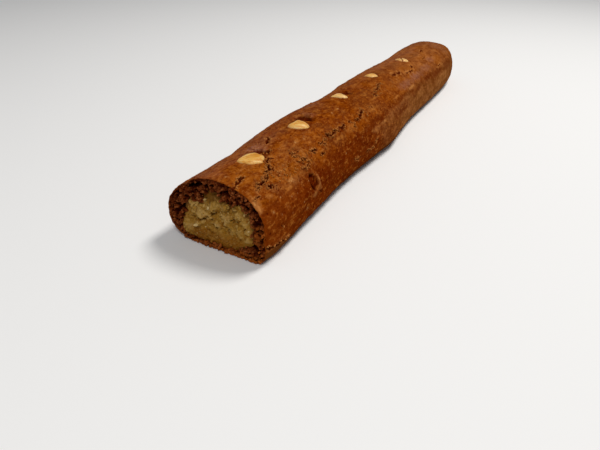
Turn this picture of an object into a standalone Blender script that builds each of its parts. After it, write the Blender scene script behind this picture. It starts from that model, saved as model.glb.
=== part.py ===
"""Filled speculaas bar: a spiced dough roll baked round a rope of almond paste, cut across at one end, with five
blanched almond halves pressed into its top.

Frame: metres, +Z up. The bar lies along X on its flat baked base at Z = 0. The cut end faces -X and the closed, rounded
end +X. The origin is at the middle of the base.

Nodes: crust (the dough, open at the cut), filling (the almond paste, which runs from the cut to near the closed end) and
almond_1 to almond_5, counted from the cut end.
"""

import math

import bmesh
import bpy

# ---- driving dimensions, metres -------------------------------------------------------------------------------------
LENGTH = 0.3276
HEIGHT = 0.0341  # base to ridge
HALF_WIDTH = 0.0260  # at the widest line
WAIST_Z = 0.0121  # height of the widest line above the base
TRAY_PRESS = 0.0008  # how deep the tray has flattened the underside
DOME_POWER = 2.05  # superellipse power of the dome
FOOT_POWER = 3.6  # and of the foot
# The knife has pushed the section askew at the cut; it eases back to the plain one over CUT_EASE.
CUT_EASE = 0.020
CUT_CENTRE_Y = 0.0016
CUT_HALF_NEAR = 0.0257  # on the -Y side
CUT_HALF_FAR = 0.0252
CUT_HEIGHT = 0.0340
CUT_WAIST_Z = 0.0140
CUT_DOME_NEAR = 2.45
CUT_DOME_FAR = 1.65
CUT_FOOT_NEAR = 6.8
CUT_FOOT_FAR = 2.8
CUT_PINCH = 0.0013  # how far the -Y flank is drawn in right at the cut
PINCH_EASE = 0.006
CUT_RELIEF = 0.0011  # unevenness of the cut face
END_ROUND = 0.0292  # length of the rounded closed end
END_POWER = 2.6  # how blunt that end is
END_CENTRE_Z = 0.0113  # the height its rounding closes on

CRUST_BASE = 0.0037  # dough under the paste
PASTE_WIDTH = 0.0372
PASTE_HEIGHT = 0.0217
PASTE_POWER = 2.9
PASTE_SHOULDER = 0.16  # how much narrower the paste is at its top
PASTE_SLOPE = 0.0016  # how far its top falls away towards +Y
PASTE_OFFSET_Y = 0.0004
PASTE_END = 0.0125  # dough left between the paste and the closed end
GAP = 0.0003  # between touching pieces

# Swells and dips along the roll, one every SWELL_PITCH from the cut. The ridge dips where the almonds were pressed in.
SWELL_PITCH = 0.024
SWELL_SPREAD = 0.017
RIDGE_SWELLS = [0.1, -1.2, -0.3, 1.3, 1.0, -0.2, -0.7, 0.5, -0.5, -0.5, -1.6, -1.8, -0.6, -1.4]  # millimetres
NEAR_SWELLS = [0.8, -0.3, -1.1, -1.4, -0.9, 0.5, 2.7, 0.2, -0.8, -0.9, -0.6, -0.5, -0.7, -2.2]
FAR_SWELLS = [0.1, -0.6, 0.2, 1.0, 0.6, -0.6, -0.9, 0.2, 0.4, -0.3, -0.8, -0.5, -0.2, -0.9]

# Almonds: distance from the cut, Y, length, breadth, turn of the pointed tip about Z in degrees, side lean in degrees
ALMONDS = [
    (0.0270, -0.0004, 0.0140, 0.0108, 141, 8),
    (0.0676, -0.0014, 0.0128, 0.0108, 130, 2),
    (0.1231, 0.0022, 0.0138, 0.0104, 134, 2),
    (0.1727, 0.0018, 0.0134, 0.0102, 132, 2),
    (0.2308, -0.0002, 0.0128, 0.0098, 112, 6),
]
ALMOND_THICK = 0.0054
ALMOND_PROUD = 0.0011  # how far each stands out of the dough
# Hollows in the skin: distance from the cut, Y, Z, three half-sizes, and turns about X, Y and Z in degrees. The first is a
# burst bubble on the -Y flank; the others are where the dough has drawn back from an almond.
HOLLOWS = [
    (0.0437, -0.0243, 0.0205, (0.0024, 0.0024, 0.0046), (-28, 24, 0)),
    (0.0764, -0.0006, 0.0352, (0.0020, 0.0034, 0.0019), (0, 0, 38)),
    (0.1289, 0.0003, 0.0334, (0.0019, 0.0030, 0.0016), (0, 0, 40)),
]
CENTRE_Y = 0.0008  # brings the middle of the whole, swells included, to Y = 0

ROUND_STEPS = 40
BODY_STATIONS = 38
END_STATIONS = 8
FACE_RINGS = 4
PASTE_STEPS = 24
PASTE_STATIONS = 24

COLOURS = {
    "speculaas": (0.27, 0.105, 0.026, 1.0),
    "almond_paste": (0.42, 0.28, 0.09, 1.0),
    "blanched_almond": (0.74, 0.50, 0.22, 1.0),
}


def swell(s, table):
    """Sum of the smooth swells in the table at s, in metres."""
    return sum(
        0.001 * amount * math.exp(-(((s - i * SWELL_PITCH) / SWELL_SPREAD) ** 2))
        for i, amount in enumerate(table)
    )


def power(v, p):
    return math.copysign(abs(v) ** p, v)


def section(s, theta):
    """(y, z) on the outside of the roll, s from the cut, theta about its axis from +Y upward."""
    c, w = math.cos(theta), math.sin(theta)
    near = c <= 0
    askew = math.exp(-((s / CUT_EASE) ** 2))

    def eased(at_cut, plain):
        return plain + (at_cut - plain) * askew

    half = eased(CUT_HALF_NEAR if near else CUT_HALF_FAR, HALF_WIDTH)
    half += swell(s, NEAR_SWELLS if near else FAR_SWELLS)
    half -= CUT_PINCH * math.exp(-((s / PINCH_EASE) ** 2)) if near else 0.0
    height = eased(CUT_HEIGHT, HEIGHT) + swell(s, RIDGE_SWELLS)
    waist = eased(CUT_WAIST_Z, WAIST_Z)
    if w >= 0:
        n = eased(CUT_DOME_NEAR if near else CUT_DOME_FAR, DOME_POWER)
        z = waist + (height - waist) * power(w, 2 / n)
    else:
        n = eased(CUT_FOOT_NEAR if near else CUT_FOOT_FAR, FOOT_POWER)
        z = max(0.0, waist + (waist + TRAY_PRESS) * power(w, 2 / n))
    y = half * power(c, 2 / n)
    u = (s - (LENGTH - END_ROUND)) / END_ROUND
    if u > 0:
        u = min(u, 1.0)
        k = (1 - u**END_POWER) ** (1 / END_POWER)
        foot = (1 - u**6) ** (1 / 3)
        y *= k
        z = END_CENTRE_Z + (z - END_CENTRE_Z) * (k if z > END_CENTRE_Z else foot * k**0.25)
    return y + CUT_CENTRE_Y * askew, z


def paste_section(s, theta, grow):
    """(y, z) on the outside of the paste, made larger by grow."""
    c, w = math.cos(theta), math.sin(theta)
    mid = CRUST_BASE + PASTE_HEIGHT / 2
    lift = 0.35 * swell(s, RIDGE_SWELLS)
    half = PASTE_WIDTH / 2 * (1 - PASTE_SHOULDER * max(w, 0.0))
    y = PASTE_OFFSET_Y + (half + grow) * power(c, 2 / PASTE_POWER)
    z = mid + (PASTE_HEIGHT / 2 + grow) * power(w, 2 / PASTE_POWER)
    if w > 0:
        z += (lift - PASTE_SLOPE * c) * min(1.0, 2 * w)
    u = (s - (LENGTH - END_ROUND - PASTE_END)) / END_ROUND
    if u > 0:
        k = (1 - min(u, 1.0) ** 2.2) ** (1 / 2.2)
        y, z = PASTE_OFFSET_Y + (y - PASTE_OFFSET_Y) * k, mid + (z - mid) * k
    return y, z


def part_material(name):
    made = bpy.data.materials.new(name)
    made.use_nodes = True
    shader = made.node_tree.nodes["Principled BSDF"]
    shader.inputs["Base Color"].default_value = COLOURS[name]
    shader.inputs["Roughness"].default_value = 0.6
    shader.inputs["Metallic"].default_value = 0.0
    return made


def sphere_object(name, steps, rings, place, collection, material=None):
    """A UV sphere whose ring i (0 to rings) and angle theta are put where place(i, theta) says."""
    mesh = bpy.data.meshes.new(name)
    work = bmesh.new()
    bmesh.ops.create_uvsphere(work, u_segments=steps, v_segments=rings, radius=1.0)
    for v in work.verts:
        ring = round(math.acos(max(-1.0, min(1.0, v.co.z))) / math.pi * rings)
        v.co = place(ring, math.atan2(v.co.y, v.co.x))
    if work.calc_volume(signed=True) < 0:
        bmesh.ops.reverse_faces(work, faces=work.faces)
    work.to_mesh(mesh)
    work.free()
    mesh.shade_smooth()
    mesh.set_sharp_from_angle(angle=math.radians(40))
    made = bpy.data.objects.new(name, mesh)
    made.location.y = CENTRE_Y
    collection.objects.link(made)
    if material:
        mesh.materials.append(material)
    return made


def cut_face_x(y, z):
    """Relief of the cut across the dough, never in front of the cut plane."""
    a = math.sin(210 * y + 1.0) * math.cos(260 * z) + 0.6 * math.sin(530 * y - 410 * z)
    return CUT_RELIEF * (0.5 + 0.3125 * a)


def crust_place(ring, theta):
    centre = (0.0, 0.42 * HEIGHT)
    if ring <= FACE_RINGS:
        y, z = section(0.0, theta)
        r = ring / FACE_RINGS
        y, z = centre[0] + (y - centre[0]) * r, centre[1] + (z - centre[1]) * r
        x = cut_face_x(y, z)
        return (x - LENGTH / 2, y, z)
    j = ring - FACE_RINGS
    if j <= BODY_STATIONS:
        s = 0.0015 + (LENGTH - END_ROUND - 0.0015) * j / BODY_STATIONS
    else:
        s = LENGTH - END_ROUND + END_ROUND * math.sin(
            math.pi / 2 * (j - BODY_STATIONS) / END_STATIONS
        )
    y, z = section(s, theta)
    return (s - LENGTH / 2, y, z)


def paste_place(grow, front):
    """Placer for the paste, or for its cavity cutter, which is larger by grow and whose face is brought out to front."""
    face = 2
    bent = LENGTH - END_ROUND - PASTE_END

    def place(ring, theta):
        if ring <= face:
            y, z = paste_section(0.0, theta, grow)
            r = ring / face
            mid = CRUST_BASE + PASTE_HEIGHT / 2
            y, z = PASTE_OFFSET_Y + (y - PASTE_OFFSET_Y) * r, mid + (z - mid) * r
            s = front if grow else front + 0.0007 * r * r * (1 + math.sin(3 * theta)) / 2
            return (s - LENGTH / 2, y, z)
        j = ring - face
        if j <= PASTE_STATIONS:
            s = 0.0025 + (bent - 0.0025) * j / PASTE_STATIONS
            out = 0.0
        else:
            out = math.sin(math.pi / 2 * (j - PASTE_STATIONS) / 5)
            s = bent + END_ROUND * out
        y, z = paste_section(s, theta, grow)
        return (s + grow * out - LENGTH / 2, y, z)

    return place


def almond_place(length, breadth, grow):
    """A blanched half: pointed towards +X, rounded towards -X, domed above and flat below."""

    def place(ring, theta):
        a = math.pi * ring / 10  # 0 at the tip, pi at the rounded end
        x = math.cos(a)
        plump = math.sin(a) ** (1.0 if x < 0 else 1.22) * (1 - 0.13 * x)
        y = (breadth / 2 + grow) * plump * math.cos(theta)
        w = math.sin(theta)
        top, bottom = 0.62 * ALMOND_THICK, 0.38 * ALMOND_THICK
        z = plump**0.8 * (
            (top + grow) * power(w, 0.9) if w > 0 else (bottom + grow) * power(w, 0.5)
        )
        return ((length / 2 + grow) * x, y, z)

    return place


def hollow_place(half):
    """An ellipsoid of the given half-sizes."""

    def place(ring, theta):
        a = math.pi * ring / 8
        return (
            half[0] * math.sin(a) * math.cos(theta),
            half[1] * math.sin(a) * math.sin(theta),
            half[2] * math.cos(a),
        )

    return place


def cut(target, cutter, name):
    """Boolean difference, kept as a modifier."""
    cutter.hide_render = True
    cutter.display_type = "WIRE"
    boolean = target.modifiers.new(name, "BOOLEAN")
    boolean.operation = "DIFFERENCE"
    boolean.solver = "EXACT"
    boolean.object = cutter


def main():
    for old in list(bpy.data.objects):
        bpy.data.objects.remove(old)
    bar = bpy.data.collections.new("filled_speculaas_bar")
    cutters = bpy.data.collections.new("cutters")
    bpy.context.scene.collection.children.link(bar)
    bpy.context.scene.collection.children.link(cutters)
    made = {name: part_material(name) for name in COLOURS}

    crust = sphere_object(
        "crust",
        ROUND_STEPS,
        FACE_RINGS + BODY_STATIONS + END_STATIONS,
        crust_place,
        bar,
        made["speculaas"],
    )
    rings = 2 + PASTE_STATIONS + 5
    sphere_object("filling", PASTE_STEPS, rings, paste_place(0.0, 0.0006), bar, made["almond_paste"])
    cavity = sphere_object("cavity_cutter", PASTE_STEPS, rings, paste_place(GAP, -0.006), cutters)
    cut(crust, cavity, "cavity")

    for n, (s, y, length, breadth, turn, lean) in enumerate(ALMONDS, start=1):
        ridge = section(s, math.pi / 2)[1]
        z = ridge - 0.5 * y * y / 0.021 + ALMOND_PROUD - 0.62 * ALMOND_THICK
        for grow, name, where, skin in (
            (0.0, f"almond_{n}", bar, made["blanched_almond"]),
            (GAP, f"socket_cutter_{n}", cutters, None),
        ):
            piece = sphere_object(name, 16, 10, almond_place(length, breadth, grow), where, skin)
            piece.location = (s - LENGTH / 2, y + CENTRE_Y, z)
            piece.rotation_euler = (math.radians(lean), 0, math.radians(turn))
            if grow:
                cut(crust, piece, f"socket_{n}")

    for n, (s, y, z, half, turns) in enumerate(HOLLOWS, start=1):
        hollow = sphere_object(f"hollow_cutter_{n}", 12, 8, hollow_place(half), cutters)
        hollow.location = (s - LENGTH / 2, y + CENTRE_Y, z)
        hollow.rotation_euler = [math.radians(t) for t in turns]
        cut(crust, hollow, f"hollow_{n}")


main()
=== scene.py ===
"""Looks of the filled speculaas bar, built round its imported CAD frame.

Frame: metres, +Z up, the bar along X on its flat base at Z = 0, the cut end facing -X, the closed end +X.
Lengths inside the relief functions are in millimetres.
"""

import math  # noqa: E402

import bmesh  # noqa: E402
import bpy  # noqa: E402
import numpy as np  # noqa: E402
from mathutils import Matrix, Vector  # noqa: E402


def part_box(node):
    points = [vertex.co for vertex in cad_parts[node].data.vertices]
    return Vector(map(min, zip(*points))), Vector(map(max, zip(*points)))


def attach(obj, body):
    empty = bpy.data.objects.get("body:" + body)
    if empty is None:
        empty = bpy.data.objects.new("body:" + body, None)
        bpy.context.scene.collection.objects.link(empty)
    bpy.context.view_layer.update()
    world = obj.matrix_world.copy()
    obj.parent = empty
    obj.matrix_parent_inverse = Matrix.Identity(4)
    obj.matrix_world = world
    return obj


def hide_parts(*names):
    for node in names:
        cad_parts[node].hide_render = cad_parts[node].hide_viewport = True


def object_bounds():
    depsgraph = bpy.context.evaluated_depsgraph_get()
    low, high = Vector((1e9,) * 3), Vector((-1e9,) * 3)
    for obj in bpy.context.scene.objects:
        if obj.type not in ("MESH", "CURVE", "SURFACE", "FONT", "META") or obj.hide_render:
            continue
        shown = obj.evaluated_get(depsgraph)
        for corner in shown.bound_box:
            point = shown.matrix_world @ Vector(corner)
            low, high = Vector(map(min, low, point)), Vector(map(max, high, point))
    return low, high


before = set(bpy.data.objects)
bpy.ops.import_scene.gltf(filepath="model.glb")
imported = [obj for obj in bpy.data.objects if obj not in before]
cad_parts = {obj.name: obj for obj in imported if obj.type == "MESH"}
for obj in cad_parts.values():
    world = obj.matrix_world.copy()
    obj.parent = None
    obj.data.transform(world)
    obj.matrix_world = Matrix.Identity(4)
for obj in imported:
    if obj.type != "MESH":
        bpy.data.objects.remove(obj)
CAD_BOX = [list(c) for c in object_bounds()]

# ---- the roll's plain form, as the CAD has it -----------------------------------------------------------------------
LENGTH = 0.3276
HEIGHT = 0.0341
HALF_WIDTH = 0.0260
WAIST_Z = 0.0121
TRAY_PRESS = 0.0008
DOME_POWER = 2.05
FOOT_POWER = 3.6
CUT_EASE = 0.020
CUT_CENTRE_Y = 0.0016
CUT_HALF_NEAR = 0.0257
CUT_HALF_FAR = 0.0252
CUT_HEIGHT = 0.0340
CUT_WAIST_Z = 0.0140
CUT_DOME_NEAR = 2.45
CUT_DOME_FAR = 1.65
CUT_FOOT_NEAR = 6.8
CUT_FOOT_FAR = 2.8
CUT_PINCH = 0.0013
PINCH_EASE = 0.006
END_ROUND = 0.0292
END_POWER = 2.6
END_CENTRE_Z = 0.0113
CENTRE_Y = 0.0008
SWELL_PITCH = 0.024
SWELL_SPREAD = 0.017
RIDGE_SWELLS = [0.1, -1.2, -0.3, 1.3, 1.0, -0.2, -0.7, 0.5, -0.5, -0.5, -1.6, -1.8, -0.6, -1.4]
NEAR_SWELLS = [0.8, -0.3, -1.1, -1.4, -0.9, 0.5, 2.7, 0.2, -0.8, -0.9, -0.6, -0.5, -0.7, -2.2]
FAR_SWELLS = [0.1, -0.6, 0.2, 1.0, 0.6, -0.6, -0.9, 0.2, 0.4, -0.3, -0.8, -0.5, -0.2, -0.9]
CUT_X = CAD_BOX[0][0]  # the cut plane

PASTE_BASE_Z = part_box("filling")[0].z
PASTE_WIDTH = 0.0372
PASTE_HEIGHT = 0.0217
PASTE_POWER = 2.9
PASTE_SHOULDER = 0.16
PASTE_SLOPE = 0.0016
PASTE_CENTRE_Y = 0.0004 + CENTRE_Y
PASTE_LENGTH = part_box("filling")[1].x - CUT_X

# almonds: distance from the cut, Y, height above the skin, turn of the pointed tip about Z in degrees, and half-breadths in
# millimetres every 18 degrees from +X
ALMONDS = [
    (0.0270, -0.0004, 0.0015, 146, [5.0, 5.0, 4.9, 4.7, 4.6, 4.7, 5.0, 5.5, 7.1, 6.8, 6.0, 6.0, 5.8, 5.4, 5.7, 5.9, 5.3, 5.5, 5.7, 5.0]),
    (0.0676, -0.0014, 0.0015, 150, [4.5, 4.8, 4.7, 3.9, 3.4, 3.4, 3.8, 5.1, 5.8, 5.4, 4.9, 4.6, 4.5, 4.5, 4.8, 5.2, 5.6, 5.2, 4.6, 4.5]),
    (0.1235, 0.0022, 0.0014, 140, [4.5, 5.0, 4.8, 4.0, 3.6, 3.5, 3.7, 4.6, 4.6, 3.6, 3.1, 3.1, 3.4, 3.8, 4.8, 5.3, 5.4, 4.6, 4.0, 4.0]),
    (0.1727, 0.0014, 0.0013, 140, [4.5, 4.5, 4.0, 3.5, 3.2, 3.2, 3.6, 4.5, 4.8, 4.2, 3.9, 4.0, 4.2, 4.2, 4.1, 4.2, 4.6, 4.4, 4.3, 4.4]),
    (0.2308, -0.0002, 0.0012, 116, [4.6, 4.4, 4.2, 4.3, 4.5, 4.7, 4.8, 4.7, 4.5, 4.3, 4.3, 4.4, 4.4, 4.6, 5.0, 5.3, 5.4, 5.2, 4.9, 4.7]),
]
ALMOND_THICK = 0.0052
# how far over each almond a film of dough has baked, and how thickly
COVERED = [(-7.0, 0.35), (-4.2, 0.55), (-4.4, 0.35), (-2.2, 0.55), (-0.4, 0.60)]


# ---- noise ----------------------------------------------------------------------------------------------------------
_rng = np.random.RandomState(7)
_dirs = _rng.normal(size=(128, 3))
DIRS = _dirs / np.linalg.norm(_dirs, axis=1)[:, None]


def scramble(i, j, k, seed):
    h = (i * 374761393 + j * 668265263 + k * 974634777 + seed * 1274126177) & 0xFFFFFFFF
    h = ((h ^ (h >> 13)) * 1274126177) & 0xFFFFFFFF
    h = ((h ^ (h >> 15)) * 668265263) & 0xFFFFFFFF
    return h ^ (h >> 16)


def perlin(p, size, seed=0):
    """Gradient noise, about -1 to 1, with features about size across."""
    q = p / size
    b = np.floor(q).astype(np.int64)
    f = q - b
    w = f * f * f * (f * (f * 6 - 15) + 10)
    total = np.zeros(len(p))
    for dx in (0, 1):
        for dy in (0, 1):
            for dz in (0, 1):
                g = DIRS[scramble(b[:, 0] + dx, b[:, 1] + dy, b[:, 2] + dz, seed) & 127]
                dot = (
                    g[:, 0] * (f[:, 0] - dx) + g[:, 1] * (f[:, 1] - dy) + g[:, 2] * (f[:, 2] - dz)
                )
                total += (
                    dot
                    * (w[:, 0] if dx else 1 - w[:, 0])
                    * (w[:, 1] if dy else 1 - w[:, 1])
                    * (w[:, 2] if dz else 1 - w[:, 2])
                )
    return total * 1.7


def fbm(p, size, octaves=3, seed=0, gain=0.5):
    total, amount, norm = 0.0, 1.0, 0.0
    for o in range(octaves):
        total = total + amount * perlin(p, size / 2**o, seed + 31 * o)
        norm += amount
        amount *= gain
    return total / norm


def cells(p, size, seed=0, jitter=1.0):
    """Cellular noise: distances to the nearest and second nearest of scattered points, and the nearest one's own number."""
    q = p / size
    b = np.floor(q).astype(np.int64)
    f = q - b
    f1 = np.full(len(p), 9.0)
    f2 = np.full(len(p), 9.0)
    who = np.zeros(len(p))
    for dx in (-1, 0, 1):
        for dy in (-1, 0, 1):
            for dz in (-1, 0, 1):
                h = scramble(b[:, 0] + dx, b[:, 1] + dy, b[:, 2] + dz, seed)
                ox = dx + 0.5 + jitter * ((h & 1023) / 1023.0 - 0.5) - f[:, 0]
                oy = dy + 0.5 + jitter * (((h >> 10) & 1023) / 1023.0 - 0.5) - f[:, 1]
                oz = dz + 0.5 + jitter * (((h >> 20) & 1023) / 1023.0 - 0.5) - f[:, 2]
                d = np.sqrt(ox * ox + oy * oy + oz * oz)
                nearer = d < f1
                f2 = np.where(nearer, f1, np.minimum(f2, d))
                who = np.where(nearer, ((h * 2654435761) >> 7) & 0xFFFF, who)
                f1 = np.where(nearer, d, f1)
    return f1, f2, who / 65535.0


def smooth(a, b, v):
    t = np.clip((v - a) / (b - a), 0, 1)
    return t * t * (3 - 2 * t)


# ---- sections -------------------------------------------------------------------------------------------------------
def swell(s, table):
    knots = np.arange(len(table)) * SWELL_PITCH
    return 0.001 * (np.array(table) * np.exp(-(((s[..., None] - knots) / SWELL_SPREAD) ** 2))).sum(-1)


def signed_power(v, p):
    return np.sign(v) * np.abs(v) ** p


def outline(s, theta):
    """(y, z) of the roll's outside, s from the cut and theta about the axis from +Y upward, as arrays that broadcast."""
    s, theta = np.broadcast_arrays(np.asarray(s, float), np.asarray(theta, float))
    c, w = np.cos(theta), np.sin(theta)
    near = c <= 0
    askew = np.exp(-((s / CUT_EASE) ** 2))

    def eased(at_cut, plain):
        return plain + (at_cut - plain) * askew

    half = eased(np.where(near, CUT_HALF_NEAR, CUT_HALF_FAR), HALF_WIDTH)
    half = half + np.where(near, swell(s, NEAR_SWELLS) - CUT_PINCH * np.exp(-((s / PINCH_EASE) ** 2)), swell(s, FAR_SWELLS))
    height = eased(CUT_HEIGHT, HEIGHT) + swell(s, RIDGE_SWELLS)
    waist = eased(CUT_WAIST_Z, WAIST_Z)
    up = w >= 0
    n = np.where(
        up,
        eased(np.where(near, CUT_DOME_NEAR, CUT_DOME_FAR), DOME_POWER),
        eased(np.where(near, CUT_FOOT_NEAR, CUT_FOOT_FAR), FOOT_POWER),
    )
    z = np.where(
        up,
        waist + (height - waist) * signed_power(w, 2 / n),
        waist + (waist + TRAY_PRESS) * signed_power(w, 2 / n),
    )
    z = np.maximum(z, 0.0)
    y = half * signed_power(c, 2 / n)
    u = np.clip((s - (LENGTH - END_ROUND)) / END_ROUND, 0, 1)
    k = (1 - u**END_POWER) ** (1 / END_POWER)
    foot = (1 - u**6) ** (1 / 3)
    y = y * k
    closing = END_CENTRE_Z + (z - END_CENTRE_Z) * np.where(z > END_CENTRE_Z, k, foot * k**0.25)
    z = np.where(u > 0, closing, z)
    return y + CUT_CENTRE_Y * askew + CENTRE_Y, z


def roof(s, y):
    """Height of the plain form's dome at s from the cut and y (without CENTRE_Y)."""
    s, y = np.broadcast_arrays(np.asarray(s, float), np.asarray(y, float))
    askew = np.exp(-((s / CUT_EASE) ** 2))
    c = y - CUT_CENTRE_Y * askew
    near = c <= 0
    half = HALF_WIDTH + (np.where(near, CUT_HALF_NEAR, CUT_HALF_FAR) - HALF_WIDTH) * askew
    half = half + np.where(near, swell(s, NEAR_SWELLS), swell(s, FAR_SWELLS))
    height = HEIGHT + (CUT_HEIGHT - HEIGHT) * askew + swell(s, RIDGE_SWELLS)
    waist = WAIST_Z + (CUT_WAIST_Z - WAIST_Z) * askew
    n = DOME_POWER + (np.where(near, CUT_DOME_NEAR, CUT_DOME_FAR) - DOME_POWER) * askew
    return waist + (height - waist) * (1 - np.clip(np.abs(c) / half, 0, 1) ** n) ** (1 / n)


def paste_outline(theta, grow=0.0):
    """(y, z) of the paste's outside at the cut."""
    c, w = np.cos(theta), np.sin(theta)
    mid = PASTE_BASE_Z + PASTE_HEIGHT / 2
    half = PASTE_WIDTH / 2 * (1 - PASTE_SHOULDER * np.maximum(w, 0.0))
    y = PASTE_CENTRE_Y + (half + grow) * signed_power(c, 2 / PASTE_POWER)
    z = mid + (PASTE_HEIGHT / 2 + grow) * signed_power(w, 2 / PASTE_POWER)
    z = z - np.where(w > 0, PASTE_SLOPE * c * np.minimum(1.0, 2 * w), 0)
    return y, z


def radius_about(centre, y, z, angles):
    """Distance of the closed curve (y, z) from centre at each angle."""
    a = np.arctan2(z - centre[1], y - centre[0])
    r = np.hypot(z - centre[1], y - centre[0])
    order = np.argsort(a)
    a, r = a[order], r[order]
    a = np.concatenate([a - 2 * np.pi, a, a + 2 * np.pi])
    r = np.concatenate([r, r, r])
    return np.interp((angles + np.pi) % (2 * np.pi) - np.pi, a, r)


# ---- meshes ---------------------------------------------------------------------------------------------------------
def grid_faces(rows, columns, wrap=True):
    """Quads of a rows x columns grid of vertices, closed round its columns if wrap."""
    r = np.arange(rows - 1)[:, None]
    c = np.arange(columns if wrap else columns - 1)[None, :]
    n = (c + 1) % columns
    quads = np.stack([r * columns + c, r * columns + n, (r + 1) * columns + n, (r + 1) * columns + c], -1)
    return quads.reshape(-1, 4)


def mesh_object(name, points, quads, fans=(), attributes=(), flip=False, materials=(), slots=None):
    """A smooth-shaded object from points in metres, quads, triangles and point attributes."""
    polygons = [q[::-1] if flip else q for q in quads.tolist()]
    polygons += [t[::-1] if flip else t for t in (list(f) for f in fans)]
    mesh = bpy.data.meshes.new(name)
    mesh.from_pydata(points.tolist(), [], polygons)
    for key, values in attributes:
        layer = mesh.attributes.new(key, "FLOAT", "POINT")
        layer.data.foreach_set("value", np.asarray(values, np.float32))
    for m in materials:
        mesh.materials.append(m)
    if slots is not None:
        mesh.polygons.foreach_set("material_index", np.asarray(slots, np.int32))
    mesh.shade_smooth()
    mesh.update()
    made = bpy.data.objects.new(name, mesh)
    bpy.context.scene.collection.objects.link(made)
    return made


def grid_normals(p, wrap=True):
    """Unit normals of a grid of points (rows, columns, 3), to the outside for rows along +X and columns from +Y upward."""
    along = np.gradient(p, axis=0)
    if wrap:
        round_ = (np.roll(p, -1, axis=1) - np.roll(p, 1, axis=1)) / 2
    else:
        round_ = np.gradient(p, axis=1)
    n = np.cross(round_, along)
    length = np.linalg.norm(n, axis=-1, keepdims=True)
    return n / np.maximum(length, 1e-12)


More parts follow.
